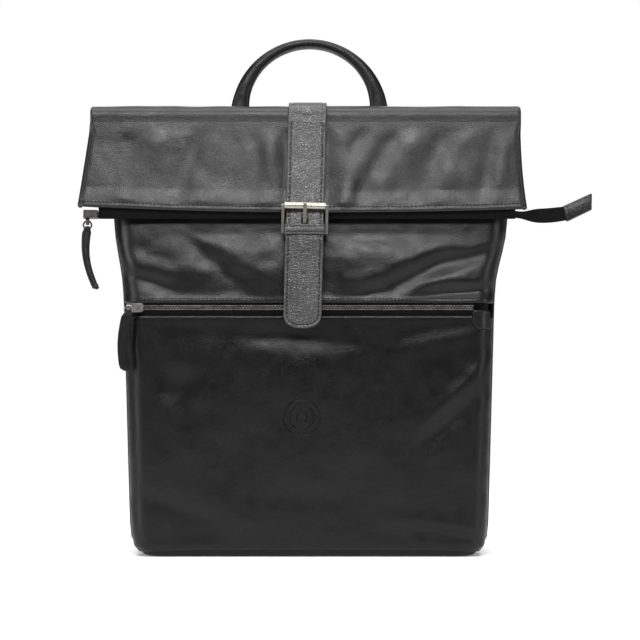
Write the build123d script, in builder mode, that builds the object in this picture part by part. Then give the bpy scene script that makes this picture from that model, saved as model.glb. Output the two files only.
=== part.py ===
from build123d import *
import os
from math import atan2, cos, degrees, pi, radians, sin, tan

os.makedirs("parts", exist_ok=True)

# Leather roll-top backpack. Millimetres, +Z up, front towards -Y, right (as seen from the
# front) towards +X, origin on the ground under the middle of the body.

# ---- Driving dimensions ----
HALF_DEPTH = 50.0          # body, front and back face from the middle
SEAM_Z = 236.0             # the front starts to lean back here, just above the pocket zip
MOUTH_Z = 403.0            # top edge of the body
MOUTH_FRONT_Y = -27.0
MOUTH_BACK_Y = 20.0
WALL = 3.0                 # leather with its backing
BASE_THICK = 4.0
LEAN = degrees(atan2(MOUTH_FRONT_Y + HALF_DEPTH, MOUTH_Z - SEAM_Z))

# Body stations: height, half width, front y, back y, corner radius
STATIONS = (
    (0.0, 158.0, -43.0, 43.0, 8.0),
    (10.0, 165.0, -HALF_DEPTH, HALF_DEPTH, 10.0),
    (SEAM_Z, 174.0, -HALF_DEPTH, HALF_DEPTH, 10.0),
    (MOUTH_Z, 184.0, MOUTH_FRONT_Y, MOUTH_BACK_Y, 8.0),
)
CORNER_CUT = 18.0          # depth of the diagonal seam at each corner

POCKET_TOP_Z = 222.5
POCKET_ZIP_Z = 230.5
UPPER_EDGE_Z = 235.0
POCKET_WALL_Y = -38.0      # inner wall of the zip pocket
ZIP_HALF = 158.0

FLAP_TOP_Z = 402.0
FLAP_NEAR = 1.5            # flap's inner and outer faces, measured out from the front panel
FLAP_FAR = 11.5
FLAP_SKIN = 2.2
FLAP_LEFT, FLAP_RIGHT = -213.0, 200.6
FLAP_TOP_LEFT, FLAP_TOP_RIGHT = -202.0, 195.5
HEM_LEFT_Z, HEM_MID_Z, HEM_RIGHT_Z = 325.0, 320.6, 322.4
TOP_ZIP_Z = 316.0
TOP_ZIP_OUT = 6.5          # the top zip's plane, out from the front panel

STRAP_WIDTH = 35.0
STRAP_THICK = 3.4
STRAP_OUT = 12.0           # back of the strap, out from the front panel
STRAP_TIP_Z = 212.0
STRAP_FOOT_X = -11.2       # where the strap's centre line would meet the ground
STRAP_LEAN = 1.35
TIP_RADIUS = 14.0
PRONG_SLOT_Z = 308.5
PUNCHED_HOLES = (282.0, 262.0)

ROLLER_OUT, ROLLER_Z = 21.2, 323.8
BAR_OUT, BAR_Z = 12.2, 299.5
BUCKLE_WIDTH = 43.0
BUCKLE_ARM = 2.6

RING_MAJOR, RING_WIRE = 3.75, 0.75
PULL_BORE, PULL_LOOP = 1.5, 2.6
PULL_THICK = 2.4

HANDLE_FOOT_Z = 396.0
HANDLE_HALF = 66.5
HANDLE_LEAN = 7.3


# ---- Shared geometry ----
def station(z):
    """Half width, front y, back y and corner radius of the body at height z."""
    for low, high in zip(STATIONS, STATIONS[1:]):
        if z <= high[0]:
            t = (z - low[0]) / (high[0] - low[0])
            return tuple(a + (b - a) * t for a, b in zip(low[1:], high[1:]))
    return STATIONS[-1][1:]


def up(z, out=0.0):
    """Distance up the leaning front face of a point at height z, `out` in front of it."""
    return (z - SEAM_Z - out * sin(radians(LEAN))) / cos(radians(LEAN))


def depth(z, out=0.0):
    """World y of that point."""
    return -HALF_DEPTH + up(z, out) * sin(radians(LEAN)) - out * cos(radians(LEAN))


def back_y(z):
    return station(z)[2]


FRONT_FACE = Plane(
    origin=(0, -HALF_DEPTH, SEAM_Z),
    x_dir=(1, 0, 0),
    z_dir=(0, -cos(radians(LEAN)), sin(radians(LEAN))),
)
SIDE = Plane(origin=(0, 0, 0), x_dir=(0, 1, 0), z_dir=(1, 0, 0))
STRAP_SIDE = Plane(
    origin=(STRAP_FOOT_X, 0, 0),
    x_dir=(0, 1, 0),
    z_dir=(cos(radians(STRAP_LEAN)), 0, -sin(radians(STRAP_LEAN))),
)


def across(x, z, out):
    """Section plane of the front face at x: local x points into the bag, local y up."""
    return Plane(
        origin=(x, depth(z, out), z),
        x_dir=(0, cos(radians(LEAN)), -sin(radians(LEAN))),
        z_dir=(1, 0, 0),
    )


def box_loft(levels):
    """Solid through rounded rectangles: height, half width, front y, back y, radius."""
    with BuildPart() as solid:
        for z, half, front, back, radius in levels:
            with BuildSketch(Plane.XY.offset(z)):
                with Locations((0, (front + back) / 2)):
                    RectangleRounded(2 * half, back - front, radius)
        loft(ruled=True)
    return solid.part


def wedge_loft(corners):
    """Ruled solid through one polygon at each of the body's upper stations."""
    with BuildPart() as solid:
        for z in (STATIONS[1][0], SEAM_Z, MOUTH_Z):
            with BuildSketch(Plane.XY.offset(z)):
                with BuildLine():
                    Polyline(*corners(*station(z)[:3]), close=True)
                make_face()
        loft(ruled=True)
    return solid.part


def save(builder, name):
    builder.part.label = name
    export_step(builder.part, f"parts/{name}.step")


# ---- Body: one hollow wall, cut along its seams ----
inner_levels = [(BASE_THICK, 157.0, -42.0, 42.0, 7.0)]
for level_z in (10.0, SEAM_Z, MOUTH_Z):
    half, front, back, radius = station(level_z)
    inner_levels.append((level_z, half - WALL, front + WALL, back - WALL, radius - WALL))
body_outside = box_loft(STATIONS)
body_inside = box_loft(inner_levels)
with BuildPart() as body_wall:
    add(body_outside)
    add(body_inside, mode=Mode.SUBTRACT)

front_wedge = wedge_loft(
    lambda w, f, b: ((-w - 5, f - 5), (w + 5, f - 5), (w - CORNER_CUT, f + CORNER_CUT),
                     (-w + CORNER_CUT, f + CORNER_CUT))
)
back_wedge = wedge_loft(
    lambda w, f, b: ((-w - 5, b + 5), (-w + CORNER_CUT, b - CORNER_CUT),
                     (w - CORNER_CUT, b - CORNER_CUT), (w + 5, b + 5))
)
right_wedge = wedge_loft(
    lambda w, f, b: ((w + 5, f - 5), (w + 5, b + 5), (w - CORNER_CUT, b - CORNER_CUT),
                     (w - CORNER_CUT, f + CORNER_CUT))
)
left_wedge = mirror(right_wedge, about=Plane.YZ)

with BuildPart() as base_panel:
    add(body_wall.part)
    with BuildSketch():
        Rectangle(400, 200)
    extrude(amount=STATIONS[1][0], mode=Mode.INTERSECT)
save(base_panel, "base_panel")


def wall_piece(wedge, low, high):
    """The part of the body's wall inside a wedge, between two heights."""
    with BuildPart() as piece:
        add(body_wall.part)
        add(wedge, mode=Mode.INTERSECT)
        with BuildSketch(Plane.XY.offset(low)):
            Rectangle(500, 300)
        extrude(amount=high - low, mode=Mode.INTERSECT)
    return piece


wall_bottom = STATIONS[1][0]
for panel_name, wedge, low, high in (
    ("pocket_panel", front_wedge, wall_bottom, POCKET_TOP_Z),
    ("front_panel", front_wedge, UPPER_EDGE_Z, MOUTH_Z),
    ("back_panel", back_wedge, wall_bottom, MOUTH_Z),
    ("gusset_right", right_wedge, wall_bottom, MOUTH_Z),
    ("gusset_left", left_wedge, wall_bottom, MOUTH_Z),
):
    save(wall_piece(wedge, low, high), panel_name)

# ---- Inside the body ----
with BuildPart() as base_board:
    with BuildSketch(Plane.XY.offset(BASE_THICK + 0.2)):
        RectangleRounded(300, 78, 6)
    extrude(amount=3)
save(base_board, "base_board")

PAD_THICK = 6.0
PAD_LOW, PAD_HIGH = 14.0, 392.0
with BuildPart() as back_padding:
    with BuildSketch(SIDE):
        with BuildLine():
            Polyline(
                (back_y(PAD_LOW) - WALL - 0.2, PAD_LOW),
                (back_y(SEAM_Z) - WALL - 0.2, SEAM_Z),
                (back_y(PAD_HIGH) - WALL - 0.2, PAD_HIGH),
                (back_y(PAD_HIGH) - WALL - PAD_THICK, PAD_HIGH),
                (back_y(SEAM_Z) - WALL - PAD_THICK, SEAM_Z),
                (back_y(PAD_LOW) - WALL - PAD_THICK, PAD_LOW),
                close=True,
            )
        make_face()
    extrude(amount=148, both=True)
save(back_padding, "back_padding")

LINING = 1.2
LINING_FLOOR = 8.0
LINING_FRONT = POCKET_WALL_Y + 1.6
LINING_JOG_Z = 262.0


def lining_levels(inset):
    """Stations of the lining bag, pulled in by inset on every side."""
    levels = []
    for z, front in (
        (LINING_FLOOR + inset, LINING_FRONT),
        (SEAM_Z + 6, LINING_FRONT),
        (LINING_JOG_Z, station(LINING_JOG_Z)[1] + WALL + 1.0),
        (MOUTH_Z - 1, station(MOUTH_Z)[1] + WALL + 1.0),
    ):
        half, _, back, _ = station(max(z, wall_bottom))
        low_gap = 1.0 if z < wall_bottom + 5 else 0.0
        levels.append((
            z, half - WALL - 0.8 - inset - low_gap, front + inset,
            back - WALL - PAD_THICK - 0.6 - inset, 7.5 - inset,
        ))
    return levels


lining_outside = box_loft(lining_levels(0.0))
lining_inside = box_loft(lining_levels(LINING))
with BuildPart() as lining:
    add(lining_outside)
    add(lining_inside, mode=Mode.SUBTRACT)
save(lining, "main_lining")

DIVIDER_HIGH = 256.0
DIVIDER_FRONT_Y, DIVIDER_THICK = 9.0, 4.0
with BuildPart() as laptop_divider:
    with BuildSketch(Plane.XZ.offset(-DIVIDER_FRONT_Y)):
        low_half = station(12)[0] - WALL - LINING - 3.4
        high_half = station(DIVIDER_HIGH)[0] - WALL - LINING - 2.4
        low_z = LINING_FLOOR + LINING + 0.2
        with BuildLine():
            Polyline((-low_half, low_z), (low_half, low_z), (high_half, DIVIDER_HIGH),
                     (-high_half, DIVIDER_HIGH), close=True)
        make_face()
    extrude(amount=-DIVIDER_THICK)
save(laptop_divider, "laptop_divider")

with BuildPart() as pocket_lining:
    with BuildSketch(SIDE):
        with BuildLine():
            Polyline(
                (POCKET_WALL_Y, 11), (POCKET_WALL_Y + 1, 11), (POCKET_WALL_Y + 1, 241),
                (-45.9, 241), (-45.9, 240), (POCKET_WALL_Y, 240), close=True,
            )
        make_face()
    extrude(amount=160, both=True)
save(pocket_lining, "pocket_lining")


# ---- Zips ----
TOOTH_PITCH = 2.8


def tooth_row(plane, half_length, side, thick):
    """One row of teeth on a cord, meshing across the plane's x axis."""
    count = int(2 * half_length / TOOTH_PITCH)
    with BuildPart() as row:
        with BuildSketch(plane):
            with Locations((0, side * 1.75)):
                Rectangle(2 * half_length, 1.1)
            with GridLocations(TOOTH_PITCH, 1, count, 1):
                with Locations((side * TOOTH_PITCH / 4, side * 0.55)):
                    Rectangle(TOOTH_PITCH / 2 - 0.25, 1.7)
        extrude(amount=thick / 2, both=True)
    return row.part


POCKET_CHAIN_Y = -46.4
pocket_chain = Plane(origin=(-4, POCKET_CHAIN_Y, POCKET_ZIP_Z), x_dir=(1, 0, 0),
                     z_dir=(0, -1, 0))
pocket_rows = [tooth_row(pocket_chain, ZIP_HALF - 2, side, 3.0) for side in (1, -1)]
with BuildPart() as pocket_zip_teeth:
    add(pocket_rows)
save(pocket_zip_teeth, "pocket_zip_teeth")

with BuildPart() as pocket_zip_tapes:
    with BuildSketch(Plane.XZ.offset(-POCKET_CHAIN_Y)):
        for low, high in ((213.0, POCKET_ZIP_Z - 2.4), (POCKET_ZIP_Z + 2.4, 236.4)):
            with Locations((0, (low + high) / 2)):
                Rectangle(2 * ZIP_HALF, high - low)
    extrude(amount=0.4, both=True)
save(pocket_zip_tapes, "pocket_zip_tapes")

TAB_LEFT, TAB_RIGHT = 151.0, 172.0
with BuildPart() as pocket_end_tab:
    with BuildSketch(Plane.XZ.offset(HALF_DEPTH + 0.1)):
        with BuildLine():
            Polyline((TAB_LEFT, 227.5), (TAB_RIGHT - 8, 227.5), (TAB_RIGHT - 8, 211.0),
                     (TAB_LEFT + 5, 211.0), (TAB_LEFT, 216.0), close=True)
        make_face()
    extrude(amount=1.6)
save(pocket_end_tab, "pocket_end_tab")

top_chain_plane = Plane(
    origin=(-4, depth(TOP_ZIP_Z, TOP_ZIP_OUT), TOP_ZIP_Z),
    x_dir=(1, 0, 0), z_dir=FRONT_FACE.z_dir,
)
top_rows = [tooth_row(top_chain_plane, 192, side, 2.6) for side in (1, -1)]
with BuildPart() as top_zip_teeth:
    add(top_rows)
save(top_zip_teeth, "top_zip_teeth")

with BuildPart() as top_zip_tapes:
    for out in (TOP_ZIP_OUT - 1.6, TOP_ZIP_OUT + 1.6):
        with BuildSketch(FRONT_FACE.offset(out)):
            with Locations((-4, up(323, out))):
                Rectangle(392, 15)
        extrude(amount=0.3, both=True)
save(top_zip_tapes, "top_zip_tapes")

with BuildPart() as zip_tail:
    for x, z, out, high, turn in ((196.0, 317.0, TOP_ZIP_OUT, 13, 0), (216.0, 314.5, 5.5, 9, 35),
                                  (236.0, 319.5, 6.5, 12, 0)):
        with BuildSketch(across(x, z, out)):
            RectangleRounded(3, high, 1, rotation=turn)
    loft()
save(zip_tail, "zip_tail")

with BuildPart() as zip_tail_tab:
    with BuildSketch(FRONT_FACE.offset(TOP_ZIP_OUT)):
        with BuildLine():
            Polyline((236.3, up(325, 6.5)), (260.3, up(335.6, 6.5)), (260.0, up(321.5, 6.5)),
                     (238.6, up(310.8, 6.5)), close=True)
        make_face()
    extrude(amount=2.6, both=True)
save(zip_tail_tab, "zip_tail_tab")


def pull_ring(plane):
    """Round wire ring lying in the given plane, centred on its origin."""
    with BuildPart(plane) as ring:
        Torus(RING_MAJOR, RING_WIRE)
    return ring


def leather_pull(plane, length, width, bow, shift):
    """Folded leather pull: a loop round the ring's wire and a bowed tongue below it."""
    half = width / 2
    with BuildPart() as pull:
        with BuildSketch(plane):
            with BuildLine():
                ThreePointArc((-2, -1.8), (bow - half, -0.45 * length),
                              (shift - half + 0.6, -length + half))
                ThreePointArc((shift - half + 0.6, -length + half), (shift, -length),
                              (shift + half - 0.6, -length + half))
                ThreePointArc((shift + half - 0.6, -length + half),
                              (bow + half, -0.45 * length), (2, -1.8))
                Line((2, -1.8), (-2, -1.8))
            make_face()
        extrude(amount=PULL_THICK / 2, both=True)
        loop_end = Plane(origin=plane.origin, x_dir=plane.y_dir, z_dir=plane.x_dir)
        with BuildSketch(loop_end):
            Circle(PULL_LOOP)
        extrude(amount=2, both=True)
        with BuildSketch(loop_end):
            Circle(PULL_BORE)
        extrude(amount=9, both=True, mode=Mode.SUBTRACT)
    return pull


# Top zip slider: a channel round the chain with a clevis under it
TOP_SLIDER_X = -208.0
TOP_PIN_X = -204.5
RING_OUT = 5.5
TOP_PIN_Z = TOP_ZIP_Z - 7.5
RING_DROP = RING_MAJOR - RING_WIRE - 1.0 - 0.1
slider_section = across(TOP_SLIDER_X, TOP_ZIP_Z, TOP_ZIP_OUT)
clevis_section = across(TOP_PIN_X - 1.5, TOP_PIN_Z, RING_OUT)
with BuildPart() as top_slider:
    with BuildSketch(slider_section):
        with Locations((0, 0.4)):
            Rectangle(8.4, 7.2)
        with Locations((0, 1.5)):
            Rectangle(4.8, 7.9, mode=Mode.SUBTRACT)
    extrude(amount=13)
    with BuildSketch(clevis_section):
        with Locations((-1.75, 1.75), (1.75, 1.75)):
            Rectangle(1.2, 6.4)
    extrude(amount=3)
    with BuildSketch(Plane(origin=(TOP_PIN_X, depth(TOP_PIN_Z, RING_OUT), TOP_PIN_Z),
                           x_dir=(1, 0, 0), z_dir=FRONT_FACE.z_dir)):
        Circle(1.0)
    extrude(amount=2.2, both=True)
save(top_slider, "top_slider")

top_ring_z = TOP_PIN_Z - RING_DROP * cos(radians(LEAN))
top_ring_plane = Plane(origin=(TOP_PIN_X, depth(top_ring_z, RING_OUT), top_ring_z),
                       x_dir=(1, 0, 0), z_dir=FRONT_FACE.z_dir)
top_ring = pull_ring(top_ring_plane)
save(top_ring, "top_ring")

TOP_PULL_TILT = 6.0
top_pull_z = top_ring_z - RING_MAJOR
top_pull_plane = Plane(
    origin=(TOP_PIN_X, depth(top_pull_z, RING_OUT), top_pull_z), x_dir=(1, 0, 0),
    z_dir=(0, -cos(radians(TOP_PULL_TILT)), sin(radians(TOP_PULL_TILT))),
)
top_pull = leather_pull(top_pull_plane, top_pull_z - 247.5, 6.6, -2.5, 8.5)
save(top_pull, "top_pull")

# Pocket zip slider: plates in front of and behind the chain, with a headed post
POCKET_POST_X = -166.0
POCKET_RING_Y = -53.9
with BuildPart() as pocket_slider:
    for plate_y, plate_thick in ((-50.9, 2.6), (-43.8, 1.6)):
        with BuildSketch(Plane.XZ.offset(-plate_y)):
            with Locations((-160.5, POCKET_ZIP_Z)):
                RectangleRounded(16, 8.6, 2.5)
        extrude(amount=-plate_thick)
    with BuildSketch(Plane.XZ.offset(50.0)):
        with Locations((POCKET_POST_X, POCKET_ZIP_Z)):
            Circle(1.0)
    extrude(amount=5.2)
    with BuildSketch(Plane.XZ.offset(55.1)):
        with Locations((POCKET_POST_X, POCKET_ZIP_Z)):
            Circle(2.1)
    extrude(amount=1.1)
save(pocket_slider, "pocket_slider")

pocket_ring_z = POCKET_ZIP_Z - RING_DROP
pocket_ring = pull_ring(Plane(origin=(POCKET_POST_X, POCKET_RING_Y, pocket_ring_z),
                              x_dir=(1, 0, 0), z_dir=(0, -1, 0)))
save(pocket_ring, "pocket_ring")

pocket_pull_z = pocket_ring_z - RING_MAJOR
pocket_pull = leather_pull(
    Plane(origin=(POCKET_POST_X, POCKET_RING_Y, pocket_pull_z), x_dir=(1, 0, 0),
          z_dir=(0, -1, 0)),
    pocket_pull_z - 173, 9.6, -6.0, -3.5,
)
save(pocket_pull, "pocket_pull")


# ---- Flap: a flattened tube of leather that hangs in front of the body ----
def flap_skin(out, thick):
    with BuildPart() as skin:
        with BuildSketch(FRONT_FACE.offset(out)):
            with BuildLine():
                ThreePointArc((FLAP_LEFT, up(HEM_LEFT_Z, out)), (10, up(HEM_MID_Z, out)),
                              (FLAP_RIGHT, up(HEM_RIGHT_Z, out)))
                Polyline((FLAP_RIGHT, up(HEM_RIGHT_Z, out)),
                         (FLAP_TOP_RIGHT, up(FLAP_TOP_Z, out)),
                         (FLAP_TOP_LEFT, up(FLAP_TOP_Z, out)),
                         (FLAP_LEFT, up(HEM_LEFT_Z, out)))
            make_face()
        extrude(amount=thick)
    return skin


save(flap_skin(FLAP_FAR - FLAP_SKIN, FLAP_SKIN), "flap_outer")
save(flap_skin(FLAP_NEAR, FLAP_SKIN), "flap_inner")
with BuildPart() as flap_lining:
    for out in (4.0, 8.4):
        with BuildSketch(FRONT_FACE.offset(out)):
            with Locations((-3, up(365, out))):
                Rectangle(380, 66)
        extrude(amount=0.6)
save(flap_lining, "flap_lining")

# ---- Leather that folds over the mouth, and the strap over it ----
FOLD_TOP_Z = 415.6
FOLD_END_Z = FLAP_TOP_Z + 1.2


def fold_path(gap, top_z, shoulder):
    """Corners of the path from the back panel over the mouth to the flap, gap outside both."""
    return (
        (MOUTH_BACK_Y - 0.3 + gap, MOUTH_Z + 1.4), (MOUTH_BACK_Y - shoulder + gap, top_z),
        (depth(FOLD_END_Z, FLAP_FAR) + shoulder - gap, top_z),
        (depth(FOLD_END_Z, FLAP_FAR + gap), FOLD_END_Z),
    )


with BuildPart() as fold_leather:
    with BuildSketch(SIDE.offset(FLAP_TOP_LEFT + 0.5)):
        with BuildLine():
            FilletPolyline(*fold_path(0.0, FOLD_TOP_Z, 4.0), radius=8)
            offset(amount=2.0, side=Side.LEFT)
        make_face()
    extrude(amount=FLAP_TOP_RIGHT - FLAP_TOP_LEFT - 1)
save(fold_leather, "fold_leather")

with BuildPart() as fold_facing:
    with BuildSketch(SIDE):
        with BuildLine():
            ThreePointArc((MOUTH_FRONT_Y + 2.0, MOUTH_Z + 0.7),
                          (MOUTH_FRONT_Y - 0.6, MOUTH_Z + 2.6),
                          (depth(FOLD_END_Z + 0.8, FLAP_NEAR), FOLD_END_Z + 0.8))
            offset(amount=1.4, side=Side.RIGHT)
        make_face()
    extrude(amount=182, both=True)
save(fold_facing, "fold_facing")

with BuildPart() as strap_fold:
    with BuildSketch(STRAP_SIDE):
        with BuildLine():
            FilletPolyline(*fold_path(0.9, FOLD_TOP_Z + 0.5, 4.0), radius=6)
            offset(amount=2.4, side=Side.RIGHT)
        make_face()
    extrude(amount=STRAP_WIDTH / 2, both=True)
save(strap_fold, "strap_fold")

STRAP_ROOT_LOW = 376.0
YOKE_LOW = 344.0


def back_patch(plane, low, high, gap, thick, half_width):
    """Leather patch lying on the leaning back panel, between two heights."""
    with BuildPart() as patch:
        with BuildSketch(plane):
            with BuildLine():
                Polyline((back_y(high) + gap, high), (back_y(high) + gap + thick, high),
                         (back_y(low) + gap + thick, low), (back_y(low) + gap, low), close=True)
            make_face()
        extrude(amount=half_width, both=True)
    return patch


save(back_patch(STRAP_SIDE, STRAP_ROOT_LOW, MOUTH_Z, 0.3, 3.0, STRAP_WIDTH / 2), "strap_root")
save(back_patch(SIDE, YOKE_LOW, STRAP_ROOT_LOW - 0.8, 0.3, 3.0, 55.5), "strap_yoke")

# ---- Closure strap, buckle, keeper and magnets ----
strap_path = (
    (depth(FLAP_TOP_Z, STRAP_OUT), FLAP_TOP_Z),
    (depth(336, STRAP_OUT), 336),
    (depth(BAR_Z, 16.2), BAR_Z),
    (-60.2, 240),
    (-61.2, STRAP_TIP_Z),
)
strap_front = Plane(origin=STRAP_SIDE.origin, x_dir=STRAP_SIDE.z_dir, z_dir=(0, -1, 0))
with BuildPart() as closure_strap:
    with BuildSketch(STRAP_SIDE):
        with BuildLine():
            FilletPolyline(*strap_path, radius=12)
            offset(amount=STRAP_THICK, side=Side.RIGHT)
        make_face()
    extrude(amount=STRAP_WIDTH / 2, both=True)
    with BuildSketch(strap_front):
        with Locations((0, 320)):
            RectangleRounded(STRAP_WIDTH, 2 * (320 - STRAP_TIP_Z), TIP_RADIUS)
    extrude(amount=100, mode=Mode.INTERSECT)
    with BuildSketch(strap_front):
        with Locations((0, PRONG_SLOT_Z)):
            SlotOverall(17, 5.6, rotation=90)
    extrude(amount=100, mode=Mode.SUBTRACT)
    with BuildSketch(strap_front):
        with Locations(*((0, z) for z in PUNCHED_HOLES)):
            Circle(2.2)
    extrude(amount=100, mode=Mode.SUBTRACT)
save(closure_strap, "closure_strap")

roller_at = (depth(ROLLER_Z, ROLLER_OUT), ROLLER_Z)
bar_at = (depth(BAR_Z, BAR_OUT), BAR_Z)
arm_mid = ((roller_at[0] + bar_at[0]) / 2, (roller_at[1] + bar_at[1]) / 2)
arm_span = ((roller_at[0] - bar_at[0]) ** 2 + (roller_at[1] - bar_at[1]) ** 2) ** 0.5
arm_turn = degrees(atan2(roller_at[1] - bar_at[1], roller_at[0] - bar_at[0]))
arm_x = BUCKLE_WIDTH / 2 - BUCKLE_ARM / 2
with BuildPart() as buckle_frame:
    for side in (-1, 1):
        with BuildSketch(STRAP_SIDE.offset(side * arm_x)):
            with Locations(arm_mid):
                SlotCenterToCenter(arm_span, 3.4, rotation=arm_turn)
        extrude(amount=BUCKLE_ARM / 2, both=True)
    with BuildSketch(STRAP_SIDE):
        with Locations(roller_at, bar_at):
            Circle(1.6)
    extrude(amount=arm_x, both=True)
save(buckle_frame, "buckle_frame")

with BuildPart() as buckle_roller:
    with BuildSketch(STRAP_SIDE):
        with Locations(roller_at):
            Circle(3.6)
            Circle(1.68, mode=Mode.SUBTRACT)
    extrude(amount=arm_x - BUCKLE_ARM / 2 - 0.3, both=True)
save(buckle_roller, "buckle_roller")

prong_tip = (roller_at[0] - 3.6 - 2.5, ROLLER_Z + 1.5)
with BuildPart() as buckle_prong:
    with BuildSketch(STRAP_SIDE):
        with BuildLine():
            Polyline((bar_at[0] - 2.4, bar_at[1] - 0.6), (prong_tip[0] - 1.0, prong_tip[1]),
                     (prong_tip[0] + 0.9, prong_tip[1] + 0.6), (bar_at[0] + 0.6, bar_at[1] + 2.4),
                     close=True)
        make_face()
        with Locations(bar_at):
            Circle(2.7)
            Circle(1.68, mode=Mode.SUBTRACT)
    extrude(amount=1.6, both=True)
save(buckle_prong, "buckle_prong")

CHAPE_LOW_Z = 238.0
with BuildPart() as buckle_chape:
    with BuildSketch(STRAP_SIDE):
        with Locations(bar_at):
            Circle(3.3)
        with BuildLine():
            Polyline((bar_at[0] - 3.2, bar_at[1] - 0.6), (-59.6, CHAPE_LOW_Z), (-56.6, CHAPE_LOW_Z),
                     (bar_at[0] + 1.0, bar_at[1] - 3.0), close=True)
        make_face()
        with Locations(bar_at):
            Circle(1.65, mode=Mode.SUBTRACT)
    extrude(amount=14, both=True)
    with BuildSketch(STRAP_SIDE):
        with Locations((bar_at[0], bar_at[1] + 0.5)):
            Rectangle(16, 11)
    extrude(amount=2.4, both=True, mode=Mode.SUBTRACT)
save(buckle_chape, "buckle_chape")

KEEPER_LOW_Z, KEEPER_HIGH_Z = 298.0, 307.5
with BuildPart() as strap_keeper:
    with BuildSketch(STRAP_SIDE):
        with BuildLine():
            Polyline((-59.2, KEEPER_HIGH_Z), (-63.9, KEEPER_HIGH_Z), (-65.3, KEEPER_LOW_Z),
                     (-60.4, KEEPER_LOW_Z), close=True)
        make_face()
    extrude(amount=18.9, both=True)
    with BuildSketch(STRAP_SIDE):
        with BuildLine():
            Polyline((-50, KEEPER_HIGH_Z + 1), (-62.3, KEEPER_HIGH_Z + 1),
                     (-63.9, KEEPER_LOW_Z - 1), (-50, KEEPER_LOW_Z - 1), close=True)
        make_face()
    extrude(amount=17.7, both=True, mode=Mode.SUBTRACT)
save(strap_keeper, "strap_keeper")

MAGNET_Z = 241.2
MAGNET_HIGH = 6.6
magnet_x = STRAP_FOOT_X + MAGNET_Z * tan(radians(STRAP_LEAN))
with BuildPart() as magnet_plate:
    with BuildSketch(FRONT_FACE):
        with Locations((magnet_x, up(MAGNET_Z))):
            RectangleRounded(22, MAGNET_HIGH, 2)
    extrude(amount=2.4)
save(magnet_plate, "magnet_plate")

with BuildPart() as magnet_bar:
    with BuildSketch(STRAP_SIDE):
        with BuildLine():
            Polyline((-56.3, MAGNET_Z - 3), (-55.9, MAGNET_Z + 3.2), (-52.6, MAGNET_Z + 3.2),
                     (-52.9, MAGNET_Z - 3), close=True)
        make_face()
    extrude(amount=11, both=True)
save(magnet_bar, "magnet_bar")

# ---- Handle ----
handle_foot_y = back_y(HANDLE_FOOT_Z) + 5.6
handle_plane = Plane(
    origin=(0, handle_foot_y, HANDLE_FOOT_Z), x_dir=(1, 0, 0),
    z_dir=(0, -cos(radians(HANDLE_LEAN)), sin(radians(HANDLE_LEAN))),
)
ARCH_FOOT, ARCH_RISE = 22.0, 67.0
arch = [(-67.5, 0.0, 0.0), (-67.0, 11.0, 0.0)]
for step in range(9):
    turn = pi - step * pi / 8
    arch.append((HANDLE_HALF * cos(turn), ARCH_FOOT + ARCH_RISE * sin(turn), sin(turn)))
arch += [(67.0, 11.0, 0.0), (67.5, 0.0, 0.0)]
with BuildPart() as handle:
    for place, (x, rise, twist) in enumerate(arch):
        x_before, rise_before, _ = arch[max(place - 1, 0)]
        x_after, rise_after, _ = arch[min(place + 1, len(arch) - 1)]
        centre = handle_plane.from_local_coords(Vector(x, rise, 0))
        along = handle_plane.from_local_coords(Vector(x_after, rise_after, 0))
        along -= handle_plane.from_local_coords(Vector(x_before, rise_before, 0))
        with BuildSketch(Plane(origin=centre, x_dir=handle_plane.z_dir, z_dir=along)):
            Ellipse(4.0 + 4.6 * twist, 8.8 - 4.6 * twist)
    loft()
save(handle, "handle")

for side, side_name in ((-1, "left"), (1, "right")):
    anchor = back_patch(SIDE.offset(side * 67), 345, 390, 0.3, 6.0, 9.5)
    save(anchor, f"handle_anchor_{side_name}")

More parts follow.
